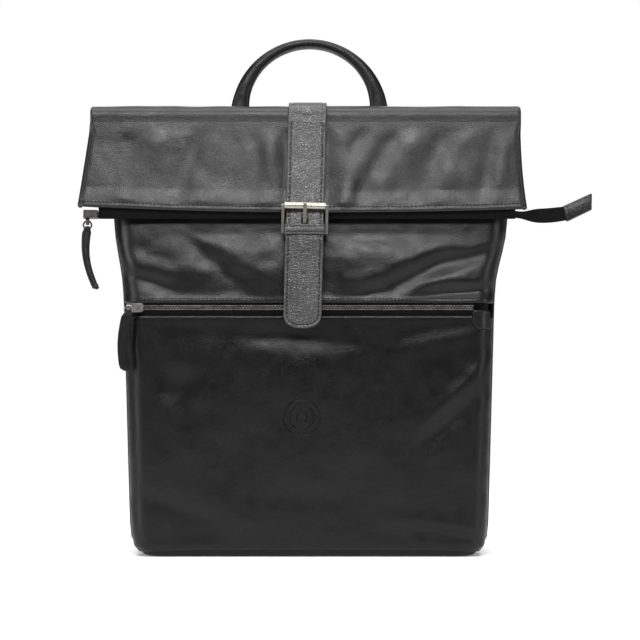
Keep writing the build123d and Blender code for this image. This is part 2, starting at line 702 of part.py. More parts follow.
# ---- Shoulder straps on the back ----
STRAP_TOP_Z = 372.0
STRAP_TOP_X = 34.0
STRAP_SLANT = 16.8
PAD_STRAP_THICK = 7.0
PAD_STRAP_HALF = 22.0
PAD_END = (62.0, -272.0)            # depth, and distance down the slant
WEB_TOP, WEB_FOOT = (64.75, -283.0), (54.25, -352.0)
WEB_THICK = 2.5
ADJUSTER_DOWN = 318.0
web_lean = degrees(atan2(WEB_TOP[0] - WEB_FOOT[0], WEB_TOP[1] - WEB_FOOT[1]))
web_mid = ((WEB_TOP[0] + WEB_FOOT[0]) / 2, (WEB_TOP[1] + WEB_FOOT[1]) / 2)
web_length = (WEB_TOP[1] - WEB_FOOT[1]) / cos(radians(web_lean))
adjuster_at = (WEB_TOP[0] - (ADJUSTER_DOWN + WEB_TOP[1]) * tan(radians(web_lean)), -ADJUSTER_DOWN)
for side, side_name in ((-1, "left"), (1, "right")):
    slant = radians(STRAP_SLANT)
    harness = Plane(
        origin=(side * STRAP_TOP_X, 0, STRAP_TOP_Z), x_dir=(0, 1, 0),
        z_dir=(cos(slant), 0, side * sin(slant)),
    )
    with BuildPart() as shoulder_strap:
        with BuildSketch(harness):
            with BuildLine():
                ThreePointArc((back_y(STRAP_TOP_Z) + 4.4, 0), (68, -140), PAD_END)
                offset(amount=PAD_STRAP_THICK, side=Side.LEFT)
            make_face()
        extrude(amount=PAD_STRAP_HALF, both=True)
    save(shoulder_strap, f"shoulder_strap_{side_name}")

    with BuildPart() as webbing:
        with BuildSketch(harness):
            with Locations(web_mid):
                Rectangle(WEB_THICK, web_length, rotation=-web_lean)
        extrude(amount=12.5, both=True)
    save(webbing, f"webbing_{side_name}")

    with BuildPart() as strap_ring:
        with BuildSketch(harness):
            with Locations((65.2, -278.2)):
                RectangleRounded(3.2, 8.6, 1)
        extrude(amount=16, both=True)
        with BuildSketch(Plane(origin=harness.from_local_coords(Vector(65.2, -278.2, 0)),
                               x_dir=harness.z_dir, z_dir=(0, 1, 0))):
            Rectangle(26, 4)
        extrude(amount=5, both=True, mode=Mode.SUBTRACT)
    save(strap_ring, f"strap_ring_{side_name}")

    with BuildPart() as adjuster:
        with BuildSketch(harness):
            with Locations(adjuster_at):
                Rectangle(6.8, 16, rotation=-web_lean)
        extrude(amount=15.5, both=True)
        with BuildSketch(harness):
            with Locations(adjuster_at):
                Rectangle(WEB_THICK + 0.8, 24, rotation=-web_lean)
        extrude(amount=13.0, both=True, mode=Mode.SUBTRACT)
    save(adjuster, f"adjuster_{side_name}")

    with BuildPart() as lower_tab:
        with BuildSketch(harness):
            with BuildLine():
                Polyline((HALF_DEPTH + 0.3, -346), (52.4, -346), (52.4, -352.6), (56.4, -352.6),
                         (56.4, -364), (HALF_DEPTH + 0.3, -366), close=True)
            make_face()
        extrude(amount=15, both=True)
    save(lower_tab, f"lower_tab_{side_name}")
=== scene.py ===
from math import atan2, copysign, cos, exp, hypot, pi, radians, sin, sqrt, tanh

import bmesh
import bpy
import numpy as np
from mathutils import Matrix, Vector, noise


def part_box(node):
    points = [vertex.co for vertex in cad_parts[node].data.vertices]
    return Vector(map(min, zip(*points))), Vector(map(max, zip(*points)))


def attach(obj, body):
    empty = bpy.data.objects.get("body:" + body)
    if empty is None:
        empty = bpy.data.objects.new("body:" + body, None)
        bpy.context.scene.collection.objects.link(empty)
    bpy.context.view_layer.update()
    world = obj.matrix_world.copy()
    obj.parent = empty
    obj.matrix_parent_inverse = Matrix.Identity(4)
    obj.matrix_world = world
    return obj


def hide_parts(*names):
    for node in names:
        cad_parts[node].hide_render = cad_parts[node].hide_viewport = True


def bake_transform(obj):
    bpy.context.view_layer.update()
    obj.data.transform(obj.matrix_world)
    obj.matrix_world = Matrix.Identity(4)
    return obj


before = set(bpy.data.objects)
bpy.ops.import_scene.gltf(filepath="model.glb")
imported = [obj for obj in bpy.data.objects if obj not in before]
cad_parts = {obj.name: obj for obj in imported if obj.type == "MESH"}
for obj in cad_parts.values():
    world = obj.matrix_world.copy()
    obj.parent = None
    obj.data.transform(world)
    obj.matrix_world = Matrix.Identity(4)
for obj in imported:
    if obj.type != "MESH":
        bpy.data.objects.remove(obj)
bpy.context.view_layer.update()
MM = 0.001


# ---- Where things are, from the frame, in millimetres ----
def low(node):
    return Vector(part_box(node)[0]) / MM


def high(node):
    return Vector(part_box(node)[1]) / MM


BASE_HALF = high("base_panel").x
SEAM_HALF = high("pocket_panel").x + 0.6
MOUTH_HALF = high("gusset_right").x
FRONT_Y = low("pocket_panel").y
BACK_Y = high("back_panel").y
MOUTH_Z = high("front_panel").z
SEAM_Z = low("front_panel").z + 1
WALL_LOW_Z = low("pocket_panel").z
POCKET_TOP_Z = high("pocket_panel").z
MOUTH_FRONT_Y = high("front_panel").y - 4.5
MOUTH_BACK_Y = 20.0
GROUND_HALF, GROUND_HALF_DEPTH = 159.0, 43.0
LEAN = atan2(MOUTH_FRONT_Y - FRONT_Y, MOUTH_Z - SEAM_Z)
TOP_ZIP_Z = (low("top_zip_teeth").z + high("top_zip_teeth").z) / 2
TOP_ZIP_OUT = 6.5              # the top zip's plane, out from the front panel
STRAP_FOOT_X, STRAP_LEAN = -11.2, radians(1.35)
STRAP_HALF = 17.5


def strap_x(z):
    return STRAP_FOOT_X + z * sin(STRAP_LEAN)


def mix(a, b, t):
    return a + (b - a) * t


def smooth(a, b, x):
    t = min(max((x - a) / (b - a), 0.0), 1.0)
    return t * t * (3 - 2 * t)


def bump(x, centre, width):
    return exp(-(((x - centre) / width) ** 2))


def slack_side(z):
    """How far the slack sides stand out under the flap."""
    return 4.2 * smooth(250, 305, z) * (1 - smooth(325, 395, z))


def flare(z):
    """How far the sides stand out in all, with the full lower half."""
    return slack_side(z) + 2.3 * smooth(15, 60, z) * (1 - smooth(190, 228, z))


def sway(x, z):
    """The slack leather stands out further on the right."""
    return 0.65 * slack_side(z) * smooth(0, 150, x)


def half_width(z):
    rounding = 4.0 * (1 - smooth(-6, 30, z))
    if z < WALL_LOW_Z:
        return mix(GROUND_HALF, BASE_HALF, z / WALL_LOW_Z) - rounding
    if z < SEAM_Z:
        return mix(BASE_HALF, SEAM_HALF, (z - WALL_LOW_Z) / (SEAM_Z - WALL_LOW_Z)) - rounding
    return mix(SEAM_HALF, MOUTH_HALF, (z - SEAM_Z) / (MOUTH_Z - SEAM_Z)) + flare(z)


def face_y(z, ground, wall, mouth):
    """Depth of the front or back: out to the wall, upright to the seam, leaning to the mouth."""
    if z < WALL_LOW_Z:
        return mix(ground, wall, z / WALL_LOW_Z)
    return mix(wall, mouth, max((z - SEAM_Z) / (MOUTH_Z - SEAM_Z), 0))


def front_y(z):
    return face_y(z, -GROUND_HALF_DEPTH, FRONT_Y, MOUTH_FRONT_Y)


def back_y(z):
    return face_y(z, GROUND_HALF_DEPTH, BACK_Y, MOUTH_BACK_Y)


def on_front(x, z, out):
    """Point at height z, `out` in front of the leaning front face."""
    rise = (z - SEAM_Z - out * sin(LEAN)) / cos(LEAN)
    return Vector((x, FRONT_Y + rise * sin(LEAN) - out * cos(LEAN), z))


def wave(x, y, z, size, seed=0.0):
    return noise.noise(Vector((x / size + seed, y / size, z / size)))


def crease(x, z, ends, width):
    """1 on the line between two points of the front, fading to 0 at `width` and past its ends."""
    (x0, z0), (x1, z1) = ends
    dx, dz = x1 - x0, z1 - z0
    t = ((x - x0) * dx + (z - z0) * dz) / (dx * dx + dz * dz)
    away = hypot(x - x0 - dx * t, z - z0 - dz * t)
    return exp(-((away / width) ** 2)) * smooth(-0.35, 0.3, t) * (1 - smooth(0.7, 1.35, t))


def creases(x, z, table):
    """Sum of creases given as (height, x0, z0, x1, z1, width)."""
    return sum(height * crease(x, z, ((x0, z0), (x1, z1)), width)
               for height, x0, z0, x1, z1, width in table)


# ---- Meshes ----
def stand_in(obj, slot, *nodes):
    """Hide the CAD nodes the piece is seen instead of; slot is not used."""
    if nodes:
        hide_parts(*nodes)


def band_faces(rings, sides):
    """Quads between rings of points, with a cap at each end."""
    faces = []
    for k in range(rings - 1):
        for i in range(sides):
            a, b = k * sides + i, k * sides + (i + 1) % sides
            faces.append((a, b, b + sides, a + sides))
    faces.append(tuple(range(sides - 1, -1, -1)))
    faces.append(tuple((rings - 1) * sides + i for i in range(sides)))
    return faces


def new_object(name, verts, faces, material, body=None):
    mesh = bpy.data.meshes.new(name)
    mesh.from_pydata([tuple(v * MM) for v in verts], [], faces)
    mesh.materials.append(material)
    for face in mesh.polygons:
        face.use_smooth = True
    obj = bpy.data.objects.new(name, mesh)
    bpy.context.collection.objects.link(obj)
    edit = bmesh.new()
    edit.from_mesh(mesh)
    bmesh.ops.recalc_face_normals(edit, faces=edit.faces)
    edit.to_mesh(mesh)
    edit.free()
    if body:
        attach(obj, body)
    return obj


def leather_sheet(name, surface, across, along, thick, material, body=None, roll=0.45,
                  facing=None):
    """Closed sheet: surface(u, v) is its outer face, `thick` goes inwards, edges are rounded.
    facing is roughly where the outer face looks."""
    us = [i / across for i in range(across + 1)]
    vs = [j / along for j in range(along + 1)]
    outer = np.array([[tuple(surface(u, v)) for u in us] for v in vs])
    du = np.gradient(outer, axis=1)
    dv = np.gradient(outer, axis=0)
    normal = np.cross(du, dv)
    normal /= np.linalg.norm(normal, axis=2)[..., None] + 1e-9
    if facing is not None and np.dot(normal[along // 2, across // 2], facing) < 0:
        normal = -normal
    inner = outer - normal * thick
    rows, cols = outer.shape[:2]
    verts = [Vector(p) for side in (outer, inner) for p in side.reshape(-1, 3)]
    size = rows * cols
    faces = []
    for j in range(rows - 1):
        for i in range(cols - 1):
            a = j * cols + i
            faces.append((a, a + 1, a + cols + 1, a + cols))
            faces.append((size + a, size + a + cols, size + a + cols + 1, size + a + 1))
    rim = [(0, i) for i in range(cols)] + [(j, cols - 1) for j in range(1, rows)]
    rim += [(rows - 1, i) for i in range(cols - 2, -1, -1)]
    rim += [(j, 0) for j in range(rows - 2, 0, -1)]
    middles = []
    for j, i in rim:
        inside = outer[min(max(j, 1), rows - 2), min(max(i, 1), cols - 2)]
        outward = outer[j, i] - inside
        outward -= normal[j, i] * np.dot(outward, normal[j, i])
        outward /= np.linalg.norm(outward) + 1e-9
        middles.append(len(verts))
        verts.append(Vector((outer[j, i] + inner[j, i]) / 2 + outward * thick * roll))
    for k, (j, i) in enumerate(rim):
        j2, i2 = rim[(k + 1) % len(rim)]
        a, b = j * cols + i, j2 * cols + i2
        m, n = middles[k], middles[(k + 1) % len(rim)]
        faces.append((a, b, n, m))
        faces.append((m, n, size + b, size + a))
    return new_object(name, verts, faces, material, body)


def mirrored(surface):
    """The same surface run the other way across, so its outer face is on the other side."""
    return lambda u, v: surface(1 - u, v)


def resample(points, step):
    """Points a fixed step apart along a polyline, with the direction at each."""
    places, carry = [], 0.0
    for p, q in zip(points, points[1:]):
        span = (q - p).length
        if span < 1e-6:
            continue
        along = (q - p) / span
        at = carry
        while at < span:
            places.append((p + along * at, along))
            at += step
        carry = at - span
    return places


def trace(surface, start, end, count, lift):
    """Points between two (u, v) places of a surface, lifted off it along y."""
    return [surface(mix(start[0], end[0], k / count), mix(start[1], end[1], k / count))
            + Vector((0, lift, 0)) for k in range(count + 1)]


def stitches(name, lines, body, face_out, pitch=3.6, length=2.5, radius=0.36):
    """Thread stitches along lines: small rounded bars, tilted a little as a saddle stitch is."""
    face_out = face_out.normalized()
    verts, faces = [], []
    for line in lines:
        for centre, along in resample(line, pitch):
            side = along.cross(face_out).normalized()
            along = (along + side * 0.16).normalized()
            base = len(verts)
            for t, scale in ((-0.5, 0.25), (-0.32, 1.0), (0.32, 1.0), (0.5, 0.25)):
                lift = face_out * (0.1 if abs(t) > 0.4 else 0.32)
                for k in range(6):
                    turn = k * pi / 3
                    verts.append(centre + along * (t * length) + lift
                                 + (side * cos(turn) + face_out * sin(turn)) * radius * scale)
            faces += [tuple(base + k for k in face) for face in band_faces(4, 6)]
    thread = new_object(name, verts, faces, THREAD, body)


def tube(name, points, radius, material, body, sides=10):
    """Round bar along a polyline, closed at both ends."""
    verts = []
    reference = Vector((0.3, 0.2, 1)).normalized()
    for k, point in enumerate(points):
        along = (points[min(k + 1, len(points) - 1)] - points[max(k - 1, 0)]).normalized()
        side = along.cross(reference)
        side = side.normalized() if side.length > 0.05 else along.orthogonal().normalized()
        other = along.cross(side).normalized()
        shrink = 0.55 if k in (0, len(points) - 1) else 1.0
        for s in range(sides):
            turn = 2 * pi * s / sides
            verts.append(point + (side * cos(turn) + other * sin(turn)) * radius * shrink)
    return new_object(name, verts, band_faces(len(points), sides), material, body)


# ---- Materials ----
class Nodes:
    """Small helper to wire a Principled material."""

    def __init__(self, name):
        self.material = bpy.data.materials.new(name)
        self.material.use_nodes = True
        self.tree = self.material.node_tree
        self.shader = self.tree.nodes["Principled BSDF"]
        self.place = self.add("ShaderNodeTexCoord").outputs["Object"]

    def add(self, kind, **inputs):
        node = self.tree.nodes.new(kind)
        for key, value in inputs.items():
            node.inputs[key.replace("_", " ")].default_value = value
        return node

    def join(self, out, into):
        self.tree.links.new(out, into)

    def feed(self, out, name):
        self.join(out, self.shader.inputs[name])

    def fix(self, name, value):
        self.shader.inputs[name].default_value = value

    def noise(self, scale, detail=4.0, rough=0.55):
        node = self.add("ShaderNodeTexNoise", Scale=scale, Detail=detail, Roughness=rough)
        self.join(self.place, node.inputs["Vector"])
        return node.outputs["Fac"]

    def cells(self, scale):
        node = self.add("ShaderNodeTexVoronoi", Scale=scale)
        node.feature = "DISTANCE_TO_EDGE"
        self.join(self.place, node.inputs["Vector"])
        return node.outputs["Distance"]

    def ramp(self, value, stops):
        node = self.add("ShaderNodeValToRGB")
        while len(node.color_ramp.elements) < len(stops):
            node.color_ramp.elements.new(0.5)
        for element, (position, colour) in zip(node.color_ramp.elements, stops):
            element.position = position
            element.color = (*colour, 1) if len(colour) == 3 else (colour[0],) * 3 + (1,)
        self.join(value, node.inputs["Fac"])
        return node.outputs["Color"]

    def span(self, value, low_in, high_in, low_out, high_out):
        node = self.add("ShaderNodeMapRange")
        for key, number in (("From Min", low_in), ("From Max", high_in), ("To Min", low_out),
                            ("To Max", high_out)):
            node.inputs[key].default_value = number
        self.join(value, node.inputs["Value"])
        return node.outputs["Result"]

    def relief(self, layers):
        """Bump layers: (height output, distance in metres, strength)."""
        normal = None
        for height, distance, strength in layers:
            node = self.add("ShaderNodeBump", Distance=distance, Strength=strength)
            self.join(height, node.inputs["Height"])
            if normal is not None:
                self.join(normal, node.inputs["Normal"])
            normal = node.outputs["Normal"]
        self.feed(normal, "Normal")


def leather(name, tone, rough, gloss, grain, grain_depth, wrinkle_depth, seal=None):
    """Black leather: mottled colour, uneven gloss, soft wrinkles, pebble grain and pores.
    seal is the centre of a debossed set of plain rings on a panel that is painted paler towards
    the bottom, as painted light from below."""
    m = Nodes(name)
    warm = (tone * 1.02, tone * 0.985, tone * 0.97)
    dark = tuple(c * 0.62 for c in warm)
    pale = tuple(c * 1.45 for c in warm)
    mottled = m.ramp(m.noise(14, 5, 0.6), ((0.3, dark), (0.52, warm), (0.75, pale)))
    if seal:
        # Painted light: the colour is mixed towards a paler grey towards the bottom, standing in
        # for light from below.
        split = m.add("ShaderNodeSeparateXYZ")
        m.join(m.place, split.inputs[0])
        tarnish_and_painted_light = m.add("ShaderNodeMix")
        tarnish_and_painted_light.data_type = "RGBA"
        m.join(m.span(split.outputs["Z"], 0.02, 0.19, 1.0, 0.0), tarnish_and_painted_light.inputs[0])
        m.join(mottled, tarnish_and_painted_light.inputs[6])
        tarnish_and_painted_light.inputs[7].default_value = (0.0095, 0.0095, 0.0098, 1)
        mottled = tarnish_and_painted_light.outputs[2]
    m.feed(mottled, "Base Color")
    m.feed(m.span(m.noise(60, 4), 0.3, 0.7, rough - 0.07, rough + 0.08), "Roughness")
    m.feed(m.span(m.noise(grain * 0.8, 3, 0.6), 0.35, 0.65, gloss * (1 - 0.3 * grain_depth),
                  gloss * (1 + 0.3 * grain_depth)), "Specular IOR Level")
    layers = [
        (m.noise(22, 2, 0.45), 0.006, wrinkle_depth),
        (m.noise(90, 3, 0.55), 0.0009, wrinkle_depth),
        (m.span(m.cells(grain), 0.0, 0.30, 0.0, 1.0), 0.00024, grain_depth),
        (m.noise(grain * 1.6, 3, 0.6), 0.00012, grain_depth),
    ]
    if seal:
        flat = m.add("ShaderNodeVectorMath")
        flat.operation = "MULTIPLY"
        flat.inputs[1].default_value = (1, 0, 1)
        m.join(m.place, flat.inputs[0])
        away = m.add("ShaderNodeVectorMath")
        away.operation = "DISTANCE"
        away.inputs[1].default_value = (seal[0], 0, seal[1])
        m.join(flat.outputs[0], away.inputs[0])
        reach = m.span(away.outputs["Value"], 0.0, 0.02, 0.0, 1.0)
        groove, level = (0.0,), (1.0,)
        stops = [(0.0, level), (0.20, level), (0.235, groove), (0.27, level), (0.52, level),
                 (0.555, groove), (0.585, (0.7,)), (0.79, (0.7,)), (0.825, groove), (0.87, level)]
        layers.append((m.ramp(reach, stops), 0.0011, 1.0))
    m.relief(layers)
    return m.material


def metal(name, colour, rough, tarnish):
    m = Nodes(name)
    tarnish_and_painted_light = tuple(c * tarnish for c in colour)
    m.feed(m.ramp(m.noise(180, 6, 0.65), ((0.38, tarnish_and_painted_light), (0.58, colour))), "Base Color")
    m.fix("Metallic", 1.0)
    m.feed(m.span(m.noise(420, 4), 0.3, 0.7, rough - 0.08, rough + 0.12), "Roughness")
    m.relief(((m.noise(900, 3, 0.6), 0.00005, 0.35), (m.noise(70, 2), 0.0003, 0.25)))
    return m.material


def woven(name, colour, pitch):
    """Plain weave: two crossed sets of ribs, with a little fluff."""
    m = Nodes(name)
    thin = tuple(c * 0.6 for c in colour)
    m.feed(m.ramp(m.noise(300, 4), ((0.35, thin), (0.7, colour))), "Base Color")
    m.feed(m.span(m.noise(500, 3), 0.3, 0.7, 0.82, 0.98), "Roughness")
    layers = []
    for axis in ("X", "Z"):
        ribs = m.add("ShaderNodeTexWave", Scale=1 / pitch / 3.14, Distortion=0.6, Detail=1.0)
        ribs.bands_direction = axis
        m.join(m.place, ribs.inputs["Vector"])
        layers.append((ribs.outputs["Fac"], 0.00025, 0.6))
    m.relief(layers)
    m.fix("Specular IOR Level", 0.2)
    return m.material


def plain_soft(name, colour, rough, scale):
    m = Nodes(name)
    dark = tuple(c * 0.7 for c in colour)
    m.feed(m.ramp(m.noise(scale, 4), ((0.3, dark), (0.7, colour))), "Base Color")
    m.feed(m.span(m.noise(scale * 3, 3), 0.3, 0.7, rough - 0.08, rough + 0.06), "Roughness")
    m.relief(((m.noise(scale * 8, 3), 0.0002, 0.4),))
    return m.material


MEDAL_X, MEDAL_Z = -6.6, 129.4
BODY = leather("leather_body_look", 0.0024, 0.36, 0.42, 640, 0.22, 0.36)
POCKET = leather("leather_pocket_look", 0.0022, 0.355, 0.32, 640, 0.22, 0.36,
                 seal=(MEDAL_X * MM, MEDAL_Z * MM))
FLAP = leather("leather_flap_look", 0.0055, 0.375, 0.60, 600, 0.34, 0.26)
STRAP = leather("leather_strap_look", 0.030, 0.38, 0.85, 440, 0.7, 0.15)
EDGE = leather("leather_edge_look", 0.006, 0.42, 0.6, 900, 0.3, 0.1)
LINING = woven("lining_look", (0.035, 0.035, 0.04), 0.0006)
TAPE = woven("zip_tape_look", (0.006, 0.006, 0.0065), 0.0008)
WEBBING = woven("webbing_look", (0.02, 0.02, 0.022), 0.0013)
THREAD = plain_soft("thread_look", (0.0035, 0.0035, 0.0035), 0.75, 900)
ZIP_METAL = metal("zip_metal_look", (0.24, 0.23, 0.22), 0.34, 0.6)
DARK_METAL = metal("dark_zip_look", (0.02, 0.02, 0.021), 0.4, 0.5)
SLIDER_METAL = metal("slider_metal_look", (0.36, 0.345, 0.33), 0.28, 0.8)
DULL_METAL = metal("top_slider_look", (0.075, 0.07, 0.067), 0.36, 0.6)
BUCKLE_METAL = metal("buckle_metal_look", (0.17, 0.16, 0.14), 0.36, 0.8)
# Painted highlight: the buckle roller's metal is a paler copy of the buckle metal, its extra
# brightness standing in for the shine on the cylinder.
ROLLER_PAINTED_HIGHLIGHT_METAL = metal("roller_painted_highlight_look", (0.38, 0.355, 0.31), 0.27, 0.82)
FOAM = plain_soft("foam_look", (0.05, 0.05, 0.05), 0.9, 400)
BOARD = plain_soft("board_look", (0.06, 0.058, 0.055), 0.7, 150)


# ---- Body panels ----
CORNER = 17.0
WRAP = 20.0
FOOT_Z = 3.5


def plan_point(z, s, face_y, sign):
    """Point of the body's outline at height z: s in -1..1 runs from the left corner's side,
    round the corner, across the face and round the right corner."""
    half = half_width(z)
    flat = half - CORNER
    arc = pi / 2 * CORNER
    total = flat + arc + (WRAP - CORNER)
    d = abs(s) * total
    if d <= flat:
        x, back = d, 0.0
    elif d <= flat + arc:
        turn = (d - flat) / CORNER
        x, back = flat + CORNER * sin(turn), CORNER * (1 - cos(turn))
    else:
        x, back = half, CORNER + d - flat - arc
    return Vector((x + sway(x, z) if s > 0 else -x, face_y + sign * back, z))


POCKET_CREASES = (
    (2.0, -165, 196, -120, 120, 14), (-2.0, -150, 190, -96, 110, 13),
    (-1.8, -150, 150, -60, 176, 15), (-3.0, 112, 112, 174, 168, 10),
    (2.8, 104, 118, 172, 184, 9), (1.6, 80, 190, 160, 208, 10), (-1.4, -60, 206, 40, 198, 9),
    (-2.0, 100, 26, 160, 16, 6), (1.5, 80, 34, 164, 26, 8), (-1.3, -160, 60, -92, 34, 8),
    (-1.0, -40, 60, 40, 52, 12),
)
UPPER_CREASES = (
    (-4.5, 112, 239, 178, 248, 7.5), (3.2, 106, 254, 184, 264, 8), (3.0, 40, 250, 156, 304, 12),
    (-3.6, 56, 246, 184, 292, 11), (2.6, 138, 282, 190, 304, 9), (2.0, 24, 270, 90, 310, 16),
    (-2.8, -176, 262, -130, 250, 7), (2.4, -176, 276, -120, 262, 8),
    (-2.0, -120, 300, -60, 250, 10), (1.8, -96, 304, -40, 256, 12),
)


def pocket_surface(u, v):
    s = 2 * u - 1
    z = mix(FOOT_Z + 4.0 * (1 - s ** 4), POCKET_TOP_Z, v)
    p = plan_point(z, s, front_y(z), 1)
    inside = max(1 - abs(s) ** 6, 0)
    belly = 4.0 * min(v / 0.8, 1.0) ** 0.6 * (1 - smooth(0.62, 0.995, v)) * (1 - (s * 0.95) ** 2)
    folds = creases(p.x, z, POCKET_CREASES)
    soft = 1.8 * wave(p.x, 0, z, 66, 3) + 0.6 * wave(p.x * 0.7, 0, z, 28, 9)
    top_fade = 1 - smooth(0.9, 1.0, v) * 0.85
    p.y -= inside * (belly + (folds + soft) * top_fade * smooth(0.0, 0.08, v))
    p.y -= 0.5 * bump(v, 0.985, 0.02) * inside
    return p


def upper_surface(u, v):
    z = mix(SEAM_Z - 1, MOUTH_Z, v)
    s = 2 * u - 1
    p = plan_point(z, s, front_y(z), 1)
    inside = max(1 - abs(s) ** 6, 0)
    folds = creases(p.x, z, UPPER_CREASES)
    soft = 1.5 * wave(p.x, 0, z, 46, 5) + 0.8 * wave(p.x, 0, z * 1.6, 22, 2)
    soft += 2.6 * (bump(p.x, -62, 62) + bump(p.x, 66, 66)) * smooth(238, 270, z)
    fade = smooth(0.0, 0.07, v) * (1 - smooth(0.9, 1.0, v))
    room = mix(7.0, 2.0, smooth(125, 150, abs(p.x)) * smooth(246, 256, z))
    room = mix(room, 0.5, smooth(270, 300, z))
    stand_out = folds + soft
    p.y -= inside * fade * (room * tanh(stand_out / room) if stand_out > 0 else stand_out)
    p.y -= 0.8 * bump(v, 0.012, 0.012) * inside
    return p


def back_surface(u, v):
    z = mix(FOOT_Z, MOUTH_Z, v)
    s = 1 - 2 * u
    p = plan_point(z, s, back_y(z), -1)
    inside = max(1 - abs(s) ** 8, 0)
    x = abs(p.x)
    pads = smooth(12, 24, x) * (1 - smooth(136, 148, x))
    pads *= smooth(24, 38, z) * (1 - smooth(322, 338, z))
    pads *= 1 - smooth(88, 98, x) * (1 - smooth(84, 96, z))
    channel = bump(z, 118, 4.5) + bump(z, 222, 4.5)
    p.y += inside * (3.2 * pads - 2.6 * pads * min(channel, 1))
    p.y += inside * 0.9 * wave(p.x, 5, z, 42, 11) * (1 - smooth(0.92, 1.0, v))
    return p


def gusset_surface(side):
    def surface(u, v):
        z = mix(FOOT_Z, MOUTH_Z, v)
        start, end = front_y(z) + CORNER + 1.2, back_y(z) - CORNER - 1.2
        t = u if side > 0 else 1 - u
        y = mix(start, end, t)
        across = sin(pi * t)
        tuck = across ** 1.5 * (1.0 + 4.0 * smooth(0.35, 1.0, v))
        fold = 3.0 * bump(t, 0.5, 0.10) * smooth(0.45, 0.95, v)
        soft = across * (1.6 * wave(side * 40, y, z, 40, 7) + 0.8 * wave(0, y * 1.4, z, 16, 4))
        sag = 2.2 * across * crease(y, z, ((-36, 96), (40, 60)), 10)
        x = half_width(z) - 0.4 - min(tuck + fold + sag - soft * 0.8, 2.2 + flare(z))
        return Vector((side * x + sway(side * x, z), y, z))
    return surface


def outline(half, front, back, corner, count):
    """Points round a rounded rectangle, evenly spaced, from the middle of the back."""
    dense = []
    for sx, sy, first in ((1, 1, 90), (1, -1, 0), (-1, -1, -90), (-1, 1, -180)):
        for step in range(13):
            turn = radians(first - step * 7.5)
            x = sx * (half - corner) + corner * cos(turn)
            y = (back - corner if sy > 0 else front + corner) + corner * sin(turn)
            dense.append((x, y))
    dense = np.array([(0.0, back)] + dense + [(0.0, back)])
    run = np.concatenate([[0], np.cumsum(np.linalg.norm(np.diff(dense, axis=0), axis=1))])
    even = np.linspace(0, run[-1], count, endpoint=False)
    return list(zip(np.interp(even, run, dense[:, 0]), np.interp(even, run, dense[:, 1])))


def ring_shell(name, rings, material, body):
    """Closed skin through rings of points, capped at both ends."""
    faces = band_faces(len(rings), len(rings[0]))
    return new_object(name, [p for ring in rings for p in ring], faces, material, body)


def base_rings():
    rings = []
    for z, inset in ((9.0, 4.0), (7.5, 2.4), (5.0, 2.2), (2.4, 2.2), (0.9, 3.0), (0.0, 5.0)):
        ring = outline(half_width(z) - inset, front_y(z) + inset, back_y(z) - inset, 15.0, 160)
        rings.append([Vector((x, y, z)) for x, y in ring])
    return rings


pocket = leather_sheet("pocket_front_leather", pocket_surface, 180, 120, 2.4, POCKET, "bag")
stand_in(pocket, "leather_body", "pocket_panel")
upper = leather_sheet("upper_front_leather", upper_surface, 160, 90, 2.4, BODY, "bag")
stand_in(upper, "leather_body", "front_panel")
back = leather_sheet("back_leather", back_surface, 140, 120, 2.6, BODY, "bag")
stand_in(back, "leather_body", "back_panel")
for side, side_name in ((-1, "left"), (1, "right")):
    gusset = leather_sheet(f"gusset_{side_name}_leather", gusset_surface(side), 40, 130, 1.4,
                           BODY, "bag")
    stand_in(gusset, "leather_body", f"gusset_{side_name}")
base = ring_shell("base_leather", base_rings(), BODY, "bag")
stand_in(base, "leather_body", "base_panel")


def seam_line(z_low, z_high, side, face):
    """Points down a corner seam of the body."""
    points = []
    for k in range(31):
        z = mix(z_low, z_high, k / 30)
        y = (front_y(z) + CORNER + 1.0) if face < 0 else (back_y(z) - CORNER - 1.0)
        x = side * (half_width(z) + 0.2)
        points.append(Vector((x + sway(x, z), y, z)))
    return points


for face, face_name in ((-1, "front"), (1, "back")):
    for side, side_name in ((-1, "left"), (1, "right")):
        piping = tube(f"piping_{face_name}_{side_name}", seam_line(5, MOUTH_Z - 1, side, face),
                      0.9, EDGE, "bag")

# ---- Flap: outer leather from the back panel over the fold to the hem ----
FLAP_FAR = 11.5                # outer leather's face, out from the front panel
FLAP_NEAR = 1.6                # inner leather's face
FOLD_FOOT_Z = 403.0            # where the fold turns into the hanging flap
FOLD_CREST_Z = high("fold_leather").z
HEM_LEFT, HEM_RIGHT = low("flap_outer").x, high("flap_outer").x
TOP_LEFT, TOP_RIGHT = -202.0, 195.5    # the fold's two ends
HEM_Z = 318.4                  # the hem's lowest point
FLAP_CREASES = (               # x at the fold, shift to the left at the hem, depth, width
    (-150, 40, 1.6, 13), (-96, 28, 1.3, 11), (-52, -14, 0.9, 9), (52, 34, 1.5, 11),
    (88, 44, 1.5, 12), (132, 30, 1.6, 13), (172, 12, 1.3, 9),
)


def hem_z(x):
    """The hem hangs lowest a little right of the middle."""
    t = (x - 10) / 223
    return HEM_Z + 6.0 * t * t if x < 10 else HEM_Z + 3.4 * (t * 1.17) ** 2


def flap_profile(x, v, gap=0.0):
    """Outer leather's side profile: v 0 on the back panel, about 0.4 at the front of the fold,
    1 at the hem. gap moves it outwards."""
    fold_front = on_front(x, FOLD_FOOT_Z, FLAP_FAR + gap)
    back_start = MOUTH_BACK_Y + 0.9 + gap
    if v < 0.08:
        z = mix(394.0, FOLD_FOOT_Z, v / 0.08)
        return Vector((x, back_y(z) + 0.9 + gap, z))
    if v < 0.4:
        t = (v - 0.08) / 0.32
        middle = (back_start + fold_front.y) / 2
        radius = (back_start - fold_front.y) / 2
        turn = pi * t
        lift = (abs(sin(turn)) ** 0.45) * (FOLD_CREST_Z + 3.9 + gap - FOLD_FOOT_Z)
        y = middle + radius * copysign(abs(cos(turn)) ** 0.8, cos(turn))
        return Vector((x, y, FOLD_FOOT_Z + lift))
    t = (v - 0.4) / 0.6
    return on_front(x, mix(FOLD_FOOT_Z, hem_z(x), t), FLAP_FAR + gap)


